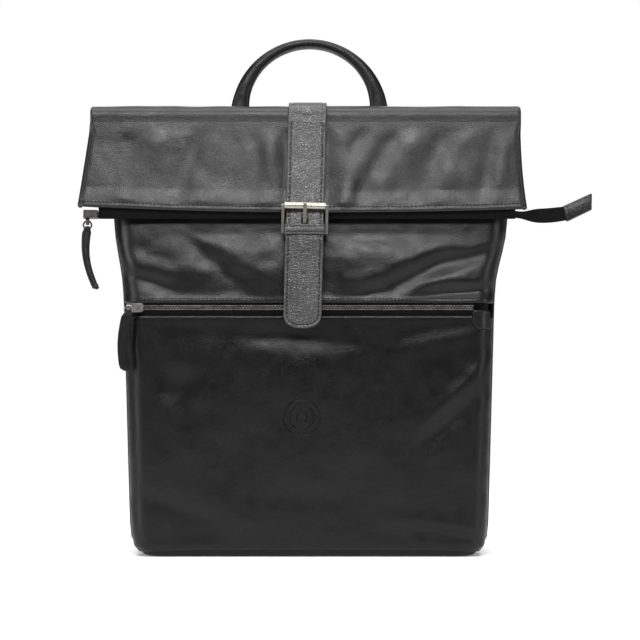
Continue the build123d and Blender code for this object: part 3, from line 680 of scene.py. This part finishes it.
def flap_surface(u, v):
    lower = max(v - 0.4, 0.0) / 0.6
    left = mix(TOP_LEFT, HEM_LEFT, lower)
    right = mix(TOP_RIGHT, HEM_RIGHT, lower ** 2.2)
    tuck = 1 - smooth(0.05, 0.30, v)
    left, right = mix(left, -MOUTH_HALF - 1.5, tuck), mix(right, MOUTH_HALF + 1.5, tuck)
    x = mix(left, right, u)
    p = flap_profile(x, v)
    hanging = smooth(0.42, 0.55, v) * (1 - smooth(0.93, 1.0, v))
    beside = abs(x - strap_x(p.z)) - STRAP_HALF
    folds = -1.1 * bump(beside, 1.0, 6.0) + 1.3 * bump(beside, 19.0, 9.0)
    for x0, slant, depth_mm, width in FLAP_CREASES:
        folds -= depth_mm * crease(x, p.z, ((x0, 404), (x0 - slant, 326)), width)
        folds += depth_mm * 0.8 * crease(x, p.z, ((x0 + 12, 400), (x0 + 12 - slant, 332)), width)
    soft = 0.6 * wave(x + p.z * 0.6, 0, p.z, 38, 1) + 0.3 * wave(x, 0, p.z * 0.8, 15, 6)
    p.y -= hanging * (folds + soft)
    on_fold = bump(v, 0.26, 0.14)
    p.z += on_fold * (0.7 * wave(x, p.y, 0, 30, 8) - 0.3)
    edge = min(u, 1 - u)
    p.y += 2.0 * (1 - smooth(0.0, 0.012, edge)) * smooth(0.4, 0.5, v)
    p.y -= 0.6 * bump(v, 0.985, 0.012) + 1.4 * smooth(0.85, 0.95, v)
    return p


flap = leather_sheet("flap_outer_leather", flap_surface, 220, 170, 2.0, FLAP, facing=(0, -1, 0.2))
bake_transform(flap)
stand_in(flap, "leather_flap", "flap_outer", "fold_leather")


def inner_surface(u, v):
    """Inner leather: from the hem up behind the flap and over to the body's front edge."""
    lower = 1 - v
    left = mix(TOP_LEFT, HEM_LEFT, lower) + 1.5
    right = mix(TOP_RIGHT, HEM_RIGHT, lower ** 2.2) - 1.5
    squeeze = smooth(0.86, 1.0, v)
    left, right = mix(left, -MOUTH_HALF + 1, squeeze), mix(right, MOUTH_HALF - 1, squeeze)
    x = mix(left, right, 1 - u)
    if v < 0.86:
        p = on_front(x, mix(hem_z(x) + 1, FOLD_FOOT_Z, v / 0.86), FLAP_NEAR)
        p.y -= 0.25 * wave(x, 0, p.z, 30, 13)
        return p
    turn = pi * (v - 0.86) / 0.14
    near, far = on_front(x, FOLD_FOOT_Z, FLAP_NEAR).y, MOUTH_FRONT_Y + 1.2
    middle, radius = (near + far) / 2, (far - near) / 2
    return Vector((x, middle - radius * cos(turn), FOLD_FOOT_Z + 3.2 * sin(turn)))


inner = leather_sheet("flap_inner_leather", inner_surface, 120, 90, 1.4, FLAP, roll=0.3,
                      facing=(0, 1, 0))
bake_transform(inner)
stand_in(inner, "leather_flap", "flap_inner", "fold_facing")


def mouth_end(side):
    """Leather that closes the end of the roll above the gusset."""
    def surface(u, v):
        t = u if side < 0 else 1 - u
        crest = flap_profile(0, mix(0.10, 0.385, t))
        foot = Vector((0, mix(back_y(400) - 3.0, MOUTH_FRONT_Y - 6.0, t), 398.5))
        p = foot.lerp(crest - Vector((0, 0, 2.6)), v)
        p.x = side * (MOUTH_HALF - 1.4 + 6.0 * v - 3.0 * sin(pi * v) * bump(t, 0.5, 0.2))
        return p
    return surface


for side, side_name in ((-1, "left"), (1, "right")):
    closed = leather_sheet(f"mouth_end_{side_name}", mouth_end(side), 24, 10, 0.9, BODY,
                           facing=(side, 0, 0))
    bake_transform(closed)


def flap_end(side):
    """Rolled side edge of the flap: joins the outer and inner leather."""
    def surface(u, v):
        z = mix(hem_z(side * 205) - 0.5, 402.0, v)
        t = min(max((402.0 - z) / 82, 0.0), 1.0)
        x = mix(TOP_RIGHT, HEM_RIGHT, t ** 2.2) if side > 0 else mix(TOP_LEFT, HEM_LEFT, t)
        out = mix(2.2, FLAP_FAR - 1.2, u)
        p = on_front(x - side * 2.6, z, out)
        p.x += side * 1.6 * sin(pi * u) + side * 0.5 * wave(0, out, z, 12, side)
        return p
    return surface


for side, side_name in ((-1, "left"), (1, "right")):
    surface = flap_end(side)
    end = leather_sheet(f"flap_edge_{side_name}", surface if side > 0 else mirrored(surface),
                        8, 60, 1.6, EDGE, "flap")

hem_line = trace(flap_surface, (2 / 160, 0.965), (158 / 160, 0.965), 156, -0.25)
stitches("hem_stitching", [hem_line], "flap", Vector((0, -1, 0.13)))


# ---- Top zip band under the hem ----
def tape_surface(out, sign):
    def surface(u, v):
        x = mix(-194, 190, u)
        z = mix(TOP_ZIP_Z - 3.4, 330, v)
        p = on_front(x, z, out + sign * 0.5 * smooth(0.6, 0.95, v))
        p.y += 0.2 * wave(x, out, z, 9, 2)
        return p
    return surface


for sign, tape_name in ((1, "front"), (-1, "back")):
    surface = tape_surface(TOP_ZIP_OUT + sign * 2.0, sign)
    tape = leather_sheet(f"top_tape_{tape_name}", surface if sign > 0 else mirrored(surface),
                         120, 8, 0.6, TAPE, "flap")
    if sign > 0:
        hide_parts("top_zip_tapes")


# ---- Strap ----
STRAP_THICK = 3.4
STRAP_TIP_Z = low("closure_strap").z
STRAP_LINE = (on_front(0, 402, 12), on_front(0, 336, 12), on_front(0, 299.5, 16.2),
              Vector((0, -60.2, 240)), Vector((0, -61.2, STRAP_TIP_Z)))


def strap_back_y(z):
    """Back face of the hanging strap at height z, its bends eased."""
    total = 0.0
    shifts = (-9, -6, -3, 0, 3, 6, 9)
    for shift in shifts:
        height = min(max(z + shift, STRAP_LINE[-1].z), STRAP_LINE[0].z)
        for a, b in zip(STRAP_LINE, STRAP_LINE[1:]):
            if a.z >= height >= b.z:
                total += mix(a.y, b.y, (a.z - height) / (a.z - b.z))
                break
    return total / len(shifts)


TIP_LENGTH = 13.0
PUNCHED_HOLES = (282.0, 262.0)
SEAM_IN = 2.9                  # the seam's distance from the strap's edge


def tip_cut(s):
    """How far above the tip's lowest point the rounded end is, s of the way out."""
    return TIP_LENGTH * (1 - (1 - min(s, 1.0) ** 2.5) ** 0.45)


def strap_surface(u, v):
    """Front face: v 0 on the back panel, over the fold, down to the rounded tip at 1."""
    s = 2 * u - 1
    rim = STRAP_HALF * (1 - abs(s))
    if v < 0.09:
        z = mix(low("strap_root").z, 394.0, v / 0.09)
        centre = Vector((0, back_y(z) + 3.6, z))
    elif v < 0.36:
        centre = flap_profile(0, mix(0.0, 0.4, (v / 0.36 - 0.25) / 0.75), 3.1)
    else:
        end_z = STRAP_TIP_Z + tip_cut(abs(s))
        z = mix(FOLD_FOOT_Z, end_z, (v - 0.36) / 0.64)
        centre = Vector((0, strap_back_y(z) - STRAP_THICK, z))
        rim = min(rim, abs(z - end_z))
    raised = 0.55 * (1 - bump(rim, SEAM_IN, 0.8))
    crown = -0.45 + raised - 0.5 * smooth(0.93, 1.0, abs(s))
    across = s * STRAP_HALF
    x = strap_x(centre.z) + across
    p = Vector((x, centre.y, centre.z))
    if v > 0.36:
        p.y -= crown
        p.y -= 0.35 * wave(x, 0, centre.z, 22, 15)
        for hole_z in PUNCHED_HOLES:
            p.y += 1.5 * (1 - smooth(1.3, 2.2, hypot(across, centre.z - hole_z)))
        slot_end = smooth(300, 303, centre.z) * (1 - smooth(314, 317, centre.z))
        p.y += 1.6 * (1 - smooth(2.0, 3.0, abs(across))) * slot_end
    else:
        p.z += crown * smooth(0.25, 0.5, v / 0.36)
    return p


strap = leather_sheet("closure_strap_leather", strap_surface, 44, 330, 3.0, STRAP, roll=0.25,
                      facing=(0, -1, 0))
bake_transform(strap)
stand_in(strap, "leather_strap", "closure_strap", "strap_fold", "strap_root")

edge = STRAP_HALF - SEAM_IN
down = [(-edge, mix(400, STRAP_TIP_Z + TIP_LENGTH, k / 89)) for k in range(90)]
tip = [(s * edge, STRAP_TIP_Z + SEAM_IN + tip_cut(abs(s)) * (1 - SEAM_IN / TIP_LENGTH))
       for s in [k / 20 - 1 for k in range(41)]]
strap_line = [Vector((strap_x(z) + x, strap_back_y(z) - 3.2, z))
              for x, z in down + tip + [(edge, z) for _, z in reversed(down)]]
stitches("strap_stitching", [strap_line], "flap", Vector((0, -1, 0.1)))


# ---- Keeper ----
def keeper_surface(u, v):
    z = mix(low("strap_keeper").z + 0.6, high("strap_keeper").z - 0.9, v)
    path = 2 * u - 1
    flat, corner = 17.4, 2.2
    d = abs(path) * (flat + corner * pi / 2 + 3.2)
    front = strap_back_y(z) - STRAP_THICK - 1.9
    if d < flat:
        x, y = d, front
    elif d < flat + corner * pi / 2:
        turn = (d - flat) / corner
        x, y = flat + corner * sin(turn) - 0.6, front + corner * (1 - cos(turn))
    else:
        x, y = flat + corner - 0.6, front + corner + d - flat - corner * pi / 2
    y -= 0.15 * sin(pi * v) + 0.35 * (bump(v, 0.5, 0.18) - bump(v, 0.2, 0.06) - bump(v, 0.8, 0.06))
    return Vector((strap_x(z) + (x if path > 0 else -x), y, z))


keeper = leather_sheet("keeper_leather", keeper_surface, 60, 14, 1.3, STRAP, "flap")
stand_in(keeper, "leather_strap", "strap_keeper")
keeper_lines = [trace(keeper_surface, (0.1, v), (0.9, v), 40, -0.2) for v in (0.2, 0.8)]
stitches("keeper_stitching", keeper_lines, "flap", Vector((0, -1, 0)),
         pitch=2.8, length=2.0, radius=0.3)


# ---- Pulls ----
PULL_HEAD = 1.7                # leather above the ring's wire


def pull_mesh(name, node, top, bow, shift, half_top, half_end, length, tilt, body):
    """Folded leather pull hanging from the ring: top is the ring's wire centre."""
    def surface(u, v):
        rounding = half_end * (1 - sqrt(max(1 - (2 * u - 1) ** 2, 0.0)))
        drop = v * (length - rounding)
        t = drop / length
        centre_x = bow * sin(pi * t) * 1.25 + shift * t * t
        half = mix(half_top, half_end, t)
        half *= min(1.0, 0.45 + 0.55 * smooth(0.0, 0.1, t))
        s = 2 * u - 1
        twist = 0.35 * sin(pi * t)
        x = top.x + centre_x + s * half * cos(twist)
        thick = 1.3 + 1.1 * (1 - smooth(0.0, 0.07, t))
        y = top.y - drop * sin(tilt) - thick + s * half * sin(twist) * 0.3
        y += 0.3 * bump(abs(s) * half, half - 1.2, 0.5)
        return Vector((x, y, top.z + PULL_HEAD - drop * cos(tilt)))
    pull = leather_sheet(name, surface, 16, 60, 2.5, BODY, body, roll=0.35, facing=(0, -1, 0))
    stand_in(pull, "leather_strap", node)
    lines = [trace(surface, (0.5 + s * 0.39, 0.1), (0.5 + s * 0.39, 0.93), 40, -0.1)
             for s in (-1, 1)]
    stitches(f"{name}_stitching", lines, body, Vector((0, -1, 0)), pitch=2.6,
             length=1.8, radius=0.24)


top_loop = (low("top_ring") + high("top_ring")) / 2
top_loop.z = low("top_ring").z + 0.75
pull_mesh("top_pull_leather", "top_pull", top_loop, -2.2, 8.5, 3.3, 2.9,
          top_loop.z - low("top_pull").z + PULL_HEAD, radians(6), "top_zip_pull")
pocket_loop = (low("pocket_ring") + high("pocket_ring")) / 2
pocket_loop.z = low("pocket_ring").z + 0.75
pull_mesh("pocket_pull_leather", "pocket_pull", pocket_loop, -3.4, -3.0, 4.4, 4.8,
          pocket_loop.z - low("pocket_pull").z + PULL_HEAD, 0.0, "pocket_zip_pull")


# ---- Zip tail and its leather tab ----
def tail_surface(u, v):
    x = mix(186, 240, v)
    turn = radians(62) * (1 - smooth(0.15, 0.6, v)) - radians(24) * smooth(0.6, 1.0, v)
    centre_z = mix(317.5, 317.6, v) - 2.4 * sin(pi * v)
    half = mix(5.6, 6.6, v)
    s = 2 * u - 1
    out = TOP_ZIP_OUT + s * half * 0.55 * sin(turn)
    return on_front(x, centre_z + s * half * cos(turn), out)


tail = leather_sheet("zip_tail_tape", tail_surface, 14, 60, 1.2, TAPE, "flap")
stand_in(tail, "zip_tape", "zip_tail")


def tab_surface(u, v):
    lower = Vector((238.4, 0, 310.6)).lerp(Vector((260.2, 0, 321.4)), v)
    upper_edge = Vector((234.6, 0, 324.0)).lerp(Vector((260.4, 0, 335.6)), v)
    q = lower.lerp(upper_edge, u)
    swell = 2.4 + 1.0 * sin(pi * u) * (1 - 0.6 * v)
    return on_front(q.x, q.z, TOP_ZIP_OUT + swell)


tab = leather_sheet("zip_tail_tab_leather", tab_surface, 16, 24, 5.4, FLAP, "flap", roll=0.2,
                    facing=(0, -1, 0))
stand_in(tab, "leather_strap", "zip_tail_tab")
tab_lines = [trace(tab_surface, (0.08, 0.12), (0.92, 0.12), 20, -0.1)]
tab_lines += [trace(tab_surface, (u, 0.1), (u, 0.95), 24, -0.1) for u in (0.1, 0.9)]
stitches("tail_tab_stitching", tab_lines, "flap", Vector((0, -1, 0)), pitch=2.8,
         length=2.0, radius=0.28)

# ---- Handle ----
HANDLE_FOOT = Vector((0, back_y(396) + 5.6, 396))
HANDLE_LEAN = radians(7.3)
HANDLE_FOOT_HALF, HANDLE_HALF = 67.5, 66.5
ARCH_FOOT, ARCH_RISE = 22.0, 67.0


def handle_place(t):
    """Centre and twist of the grip: t 0 at the left foot, 1 at the right foot."""
    if t < 0.12 or t > 0.88:
        side = -1 if t < 0.5 else 1
        h = (t if t < 0.5 else 1 - t) / 0.12
        x, rise, twist = side * mix(HANDLE_FOOT_HALF, HANDLE_HALF, h), ARCH_FOOT * h, 0.0
    else:
        turn = pi * (1 - (t - 0.12) / 0.76)
        x, rise = HANDLE_HALF * cos(turn), ARCH_FOOT + ARCH_RISE * sin(turn)
        twist = max(sin(turn), 0.0) ** 0.8
    return HANDLE_FOOT + Vector((x, rise * sin(HANDLE_LEAN), rise * cos(HANDLE_LEAN))), twist


def handle_mesh():
    """Grip swept along the arch, its flat section turning from side-on to front-on."""
    verts = []
    rings, sides = 140, 28
    depth_dir = Vector((0, cos(HANDLE_LEAN), -sin(HANDLE_LEAN)))
    for k in range(rings + 1):
        t = k / rings
        centre, twist = handle_place(t)
        ahead = handle_place(min(t + 0.004, 1))[0] - handle_place(max(t - 0.004, 0))[0]
        radial = ahead.normalized().cross(depth_dir).normalized()
        shrink = 0.85 if k in (0, rings) else 1.0
        half_depth, half_radial = (4.0 + 4.4 * twist) * shrink, (9.2 - 4.9 * twist) * shrink
        for i in range(sides):
            turn = 2 * pi * i / sides
            c, q = cos(turn), sin(turn)
            px = copysign(abs(c) ** 0.8, c) * half_depth
            pz = copysign(abs(q) ** 0.8, q) * half_radial
            wrinkle = 1 + 0.02 * noise.noise(centre * 0.12 + Vector((c, q, 0)))
            verts.append(centre + (depth_dir * px + radial * pz) * wrinkle)
    return verts, band_faces(rings + 1, sides)


handle = new_object("handle_leather", *handle_mesh(), BODY, "carry_handle")
stand_in(handle, "leather_body", "handle")


def patch_surface(x0, x1, z0, z1, gap, puff=0.0):
    """Stitched leather patch on the back panel, seen from behind."""
    def surface(u, v):
        x, z = mix(x1, x0, u), mix(z0, z1, v)
        rise = puff * sin(pi * u) * sin(pi * v)
        return Vector((x, back_y(z) + gap + rise + 0.2 * wave(x, 3, z, 12, 5), z))
    return surface


def patch_stitches(name, surface, inset):
    """Seam all round a patch."""
    far = 1 - inset
    corners = ((inset, inset), (far, inset), (far, far), (inset, far), (inset, inset))
    line = [p for a, b in zip(corners, corners[1:]) for p in trace(surface, a, b, 20, 0.2)[:-1]]
    stitches(name, [line], "bag", Vector((0, 1, 0.15)))


for side, side_name in ((-1, "left"), (1, "right")):
    node = f"handle_anchor_{side_name}"
    surface = patch_surface(low(node).x, high(node).x, low(node).z, high(node).z, 6.4, 0.8)
    anchor = leather_sheet(f"{node}_leather", surface, 14, 30, 5.6, BODY, "bag")
    stand_in(anchor, "leather_body", node)
    patch_stitches(f"{node}_stitching", surface, 0.12)

yoke_surface = patch_surface(low("strap_yoke").x, high("strap_yoke").x, low("strap_yoke").z,
                             high("strap_yoke").z, 3.2)
yoke = leather_sheet("strap_yoke_leather", yoke_surface, 50, 16, 2.6, BODY, "bag")
stand_in(yoke, "leather_body", "strap_yoke")
patch_stitches("strap_yoke_stitching", yoke_surface, 0.05)

# ---- Shoulder straps ----
SLANT = radians(16.8)
HARNESS_TOP = Vector((34, 0, 372))
WEB_TOP, WEB_FOOT = (65.85, -276.0), (55.35, -352.5)   # depth, and distance down the slant


def arc_through(a, b, c):
    """Centre and radius of the circle through three points of a plane."""
    ax, ay, bx, by, cx, cy = *a, *b, *c
    d = 2 * (ax * (by - cy) + bx * (cy - ay) + cx * (ay - by))
    ux = ((ax * ax + ay * ay) * (by - cy) + (bx * bx + by * by) * (cy - ay)
          + (cx * cx + cy * cy) * (ay - by)) / d
    uy = ((ax * ax + ay * ay) * (cx - bx) + (bx * bx + by * by) * (ax - cx)
          + (cx * cx + cy * cy) * (bx - ax)) / d
    return ux, uy, hypot(ax - ux, ay - uy)


PAD_TOP, PAD_MID, PAD_END = (back_y(372) + 4.4, 0.0), (68.0, -140.0), (62.0, -272.0)
ARC_Y, ARC_V, ARC_R = arc_through(PAD_TOP, PAD_MID, PAD_END)
ARC_START = atan2(PAD_TOP[1] - ARC_V, PAD_TOP[0] - ARC_Y)
ARC_END = atan2(PAD_END[1] - ARC_V, PAD_END[0] - ARC_Y)


def harness_point(side, across_mm, depth_mm, v_mm):
    """Point of a shoulder strap: across it, its depth, and v_mm along the slant (down is -)."""
    x = HARNESS_TOP.x + across_mm * cos(SLANT) - v_mm * sin(SLANT)
    z = HARNESS_TOP.z + across_mm * sin(SLANT) + v_mm * cos(SLANT)
    return Vector((side * x, depth_mm, z))


def shoulder_surface(side):
    def surface(u, v):
        s = 2 * u - 1
        turn = mix(ARC_START, ARC_END, v)
        half = 21.8 * (1 - 0.12 * smooth(0.8, 1.0, v) - 0.16 * (1 - smooth(0.0, 0.12, v)))
        edge = abs(s)
        puff = 7.2 - 4.0 * edge ** 5 - 1.0 * bump(edge, 0.84, 0.05)
        radius = ARC_R + puff
        y = ARC_Y + radius * cos(turn)
        v_mm = ARC_V + radius * sin(turn)
        p = harness_point(side, s * half * (-1 if side > 0 else 1), y, v_mm)
        p.y += 0.5 * wave(p.x, 0, p.z, 26, 19)
        return p
    return surface


for side, side_name in ((-1, "left"), (1, "right")):
    surface = shoulder_surface(side)
    pad = leather_sheet(f"shoulder_pad_{side_name}", surface, 30, 110, 6.4, BODY, "bag",
                        roll=0.35, facing=(0, 1, 0))
    stand_in(pad, "leather_body", f"shoulder_strap_{side_name}")
    lines = [trace(surface, (0.5 + s * 0.42, 0.02), (0.5 + s * 0.42, 0.98), 90, 0.15)
             for s in (-1, 1)]
    stitches(f"shoulder_{side_name}_stitching", lines, "bag", Vector((0, 1, 0)))

    def web_surface(u, v, side=side):
        s = (2 * u - 1) * (1 if side > 0 else -1)
        y, v_mm = mix(WEB_TOP[0], WEB_FOOT[0], v), mix(WEB_TOP[1], WEB_FOOT[1], v)
        return harness_point(side, -s * 12.3, y, v_mm)

    web = leather_sheet(f"webbing_{side_name}_woven", web_surface, 12, 60, 1.9, WEBBING, "bag",
                        facing=(0, 1, 0))
    stand_in(web, "webbing", f"webbing_{side_name}")

    def tab_face(u, v, side=side):
        s = (2 * u - 1) * (1 if side > 0 else -1)
        half = 14.8 - 3.0 * smooth(0.7, 1.0, v)
        rise = 56.0 - 3.6 * smooth(0.55, 1.0, v)
        return harness_point(side, -s * half, rise, mix(-347.0, -365.5, v))

    lower_tab = leather_sheet(f"lower_tab_{side_name}_leather", tab_face, 14, 16, 3.0, BODY, "bag",
                              facing=(0, 1, 0))
    stand_in(lower_tab, "leather_body", f"lower_tab_{side_name}")


# ---- Pocket zip's edges, tapes and end tab ----
pocket_edge = trace(pocket_surface, (0.06, 0.972), (0.94, 0.972), 200, -0.2)
upper_edge = trace(upper_surface, (0.06, 0.022), (0.94, 0.022), 200, -0.2)
stitches("pocket_zip_stitching", [pocket_edge, upper_edge], "bag",
         Vector((0, -1, 0)))


def end_tab_surface(u, v):
    left, right = low("pocket_end_tab").x, high("pocket_end_tab").x + 5
    x = mix(left, right, u)
    bottom = low("pocket_end_tab").z + 5 * (1 - smooth(0.0, 0.25, u))
    z = mix(bottom, high("pocket_end_tab").z, v)
    run = half_width(z) + pi / 2 * CORNER + WRAP - 2 * CORNER
    p = plan_point(z, x / run, front_y(z), 1)
    p.x = min(p.x, half_width(z) + 0.3)
    return p + Vector((0, -1.7, 0))


end_tab = leather_sheet("pocket_end_tab_leather", end_tab_surface, 16, 16, 1.6, BODY, "bag")
stand_in(end_tab, "leather_body", "pocket_end_tab")


POCKET_TAPE_Y = -46.9


def pocket_tape(z_low, z_high):
    def surface(u, v):
        x, z = mix(-160, 160, u), mix(z_low, z_high, v)
        return Vector((x * 0.98, POCKET_TAPE_Y + 0.15 * wave(x, 0, z, 8, 3), z))
    return surface


for tape_name, z_low, z_high in (("lower", 214.0, 228.4), ("upper", 232.6, 238.5)):
    tape = leather_sheet(f"pocket_tape_{tape_name}", pocket_tape(z_low, z_high), 100, 6, 0.6,
                         TAPE, "bag")
    if tape_name == "lower":
        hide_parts("pocket_zip_tapes")


# ---- Inside: lining bag, pads and the leather loop that holds the buckle ----
def lining_rings():
    """Lining bag: outside up to the mouth, then the inside down to the floor."""
    rings = []
    floor, top = low("main_lining").z, high("main_lining").z
    front_low = high("pocket_lining").y + 0.6
    levels = [mix(floor, top, k / 24) for k in range(25)]
    for thick, zs in ((0.0, levels), (1.0, [max(z, floor + 1.0) for z in reversed(levels)])):
        for z in zs:
            front = mix(front_low, front_y(z) + 4.0, smooth(242, 262, z)) + thick
            half = half_width(max(z, 12)) - flare(z) - 3.9 - thick
            ring = []
            for x, y in outline(half, front, back_y(max(z, 10)) - 9.7 - thick, 7.0, 120):
                slack = 0.7 * wave(x, y, z, 26, 21) * smooth(floor, floor + 20, z)
                ring.append(Vector((x * (1 - abs(slack) * 0.004), y + max(slack, 0) * (y < 0), z)))
            rings.append(ring)
    return rings


lining_bag = ring_shell("main_lining_cloth", lining_rings(), LINING, "bag")
stand_in(lining_bag, "lining_fabric", "main_lining")


def pocket_back(u, v):
    """Lining at the back of the front pocket, with the ledge that meets the zip above."""
    wall = high("pocket_lining").y
    x, reach = mix(-159, 159, u), v * 238
    if reach < 229:
        return Vector((x, wall - 0.2 - 0.25 * abs(wave(x, 0, reach, 24, 17)), 11.4 + reach))
    return Vector((x, wall - 0.2 - (reach - 229) * 0.9, 240.6))


pocket_sheet = leather_sheet("pocket_lining_cloth", pocket_back, 100, 90, 0.7, LINING, "bag",
                             roll=0.2, facing=(0, 1, 0))
stand_in(pocket_sheet, "lining_fabric", "pocket_lining")


def divider_surface(u, v):
    x, z = mix(-154, 154, u), mix(low("laptop_divider").z + 0.4, high("laptop_divider").z, v)
    edge = min(u * 308, (1 - u) * 308, v * 246, (1 - v) * 246)
    puff = 0.5 * smooth(0, 12, edge) + 0.25 * wave(x, 0, z, 30, 23)
    return Vector((x, low("laptop_divider").y + 0.9 - puff, z))


divider = leather_sheet("laptop_divider_pad", divider_surface, 90, 80, 2.8, LINING, "bag",
                        facing=(0, -1, 0))
stand_in(divider, "lining_fabric", "laptop_divider")


def pad_inside(u, v):
    x, z = mix(147, -147, u), mix(low("back_padding").z + 1, high("back_padding").z - 1, v)
    return Vector((x, back_y(z) - 3.6 - 0.3 * abs(wave(x, 0, z, 20, 25)), z))


back_pad = leather_sheet("back_padding_foam", pad_inside, 60, 80, 5.0, FOAM, "bag",
                         facing=(0, 1, 0))
stand_in(back_pad, "foam", "back_padding")

BAR = Vector((0, -53.6, 299.5))


def chape_surface(u, v):
    """Leather loop: up behind the strap, over the buckle's bar and down in front of it."""
    loop, half = 3.2, 13.8
    if v < 0.6:
        t = v / 0.6
        y = mix(-56.8, BAR.y + loop, t ** 1.2)
        z = mix(low("buckle_chape").z + 0.3, BAR.z, t)
    else:
        turn = pi * min((v - 0.6) / 0.2, 1.0)
        down = max(v - 0.8, 0.0) / 0.2 * 14
        y, z = BAR.y + loop * cos(turn) - down * 0.12, BAR.z + loop * sin(turn) - down
    return Vector((strap_x(z) + (1 - 2 * u) * half, y, z))


chape = leather_sheet("buckle_chape_leather", chape_surface, 20, 90, 1.4, STRAP, "flap",
                      roll=0.3)
stand_in(chape, "leather_strap", "buckle_chape")

# ---- Looks of the CAD nodes that stay ----
CAD_LOOKS = (
    (ZIP_METAL, ("pocket_zip_teeth",)), (DARK_METAL, ("top_zip_teeth",)),
    (DULL_METAL, ("top_slider", "top_ring")), (SLIDER_METAL, ("pocket_slider", "pocket_ring")),
    (ROLLER_PAINTED_HIGHLIGHT_METAL, ("buckle_roller",)),
    (BUCKLE_METAL, ("buckle_frame", "buckle_prong", "adjuster_left", "adjuster_right",
                    "strap_ring_left", "strap_ring_right", "magnet_plate", "magnet_bar")),
    (LINING, ("flap_lining",)), (BOARD, ("base_board",)),
)
for look, node_names in CAD_LOOKS:
    for node_name in node_names:
        node = bpy.data.objects[node_name]
        if not node.data.materials:
            node.data.materials.append(look)
        for slot in node.material_slots:
            slot.material = look

# ---- Floor, light and camera ----
floor_look = Nodes("floor_look")
floor_look.fix("Roughness", 0.7)
floor_look.fix("Specular IOR Level", 0.0)
floor_look.fix("Emission Color", (1, 1, 1, 1))
far_away = floor_look.add("ShaderNodeVectorMath")
far_away.operation = "LENGTH"
floor_look.join(floor_look.place, far_away.inputs[0])
FLOOR_NEAR, FLOOR_FAR = 0.4, 1.3       # metres from the middle: plain floor, all white
floor_look.feed(floor_look.span(far_away.outputs["Value"], FLOOR_NEAR, FLOOR_FAR, 0.2, 1.0),
                "Emission Strength")
fade = floor_look.span(far_away.outputs["Value"], FLOOR_NEAR, FLOOR_FAR, 1.0, 0.0)
floor_look.feed(floor_look.ramp(fade, ((0.0, (0.0, 0.0, 0.0)), (1.0, (0.92, 0.92, 0.93)))),
                "Base Color")
bpy.ops.mesh.primitive_circle_add(vertices=96, radius=14, fill_type="NGON", location=(0, 0, 0))
floor = bpy.context.object
floor.name = "floor"
floor.data.materials.append(floor_look.material)

world = bpy.data.worlds.new("studio")
bpy.context.scene.world = world
world.use_nodes = True
tree = world.node_tree
background = tree.nodes["Background"]
seen = tree.nodes.new("ShaderNodeBackground")
seen.inputs["Color"].default_value = (1, 1, 1, 1)
seen.inputs["Strength"].default_value = 1.0
background.inputs["Color"].default_value = (1, 1, 1, 1)
background.inputs["Strength"].default_value = 0.05
rays = tree.nodes.new("ShaderNodeLightPath")
blend_world = tree.nodes.new("ShaderNodeMixShader")
tree.links.new(rays.outputs["Is Camera Ray"], blend_world.inputs[0])
tree.links.new(background.outputs[0], blend_world.inputs[1])
tree.links.new(seen.outputs[0], blend_world.inputs[2])
tree.links.new(blend_world.outputs[0], tree.nodes["World Output"].inputs["Surface"])


def softbox(name, place, aim, wide, tall, watts):
    data = bpy.data.lights.new(name, "AREA")
    data.shape = "RECTANGLE"
    data.size, data.size_y, data.energy = wide, tall, watts
    light = bpy.data.objects.new(name, data)
    light.location = place
    light.rotation_euler = (Vector(aim) - Vector(place)).to_track_quat("-Z", "Y").to_euler()
    bpy.context.collection.objects.link(light)


softbox("top_front", (-0.04, -1.85, 1.58), (0, 0, 0.3), 1.3, 0.65, 42)
softbox("top", (0, 0.0, 2.2), (0, 0, 0.2), 2.4, 2.0, 56)
softbox("left", (-1.9, -1.1, 0.6), (0, 0, 0.25), 0.7, 1.6, 26)
softbox("right", (1.9, -1.1, 0.7), (0, 0, 0.25), 0.5, 1.6, 15)
softbox("behind", (0, 2.2, 1.3), (0, 0, 0.25), 2.2, 1.4, 14)

camera_data = bpy.data.cameras.new("camera")
camera_data.lens = 120
camera_data.sensor_width = 36
camera = bpy.data.objects.new("camera", camera_data)
AIM = Vector((0.0101, 0, 0.219))
CAMERA_AWAY = 2.015
camera.location = AIM + Vector((0, -CAMERA_AWAY, 0))
camera.rotation_euler = (pi / 2, 0, 0)
bpy.context.collection.objects.link(camera)
bpy.context.scene.camera = camera
bpy.context.scene.view_settings.view_transform = "Standard"
bpy.context.scene.view_settings.gamma = 0.86
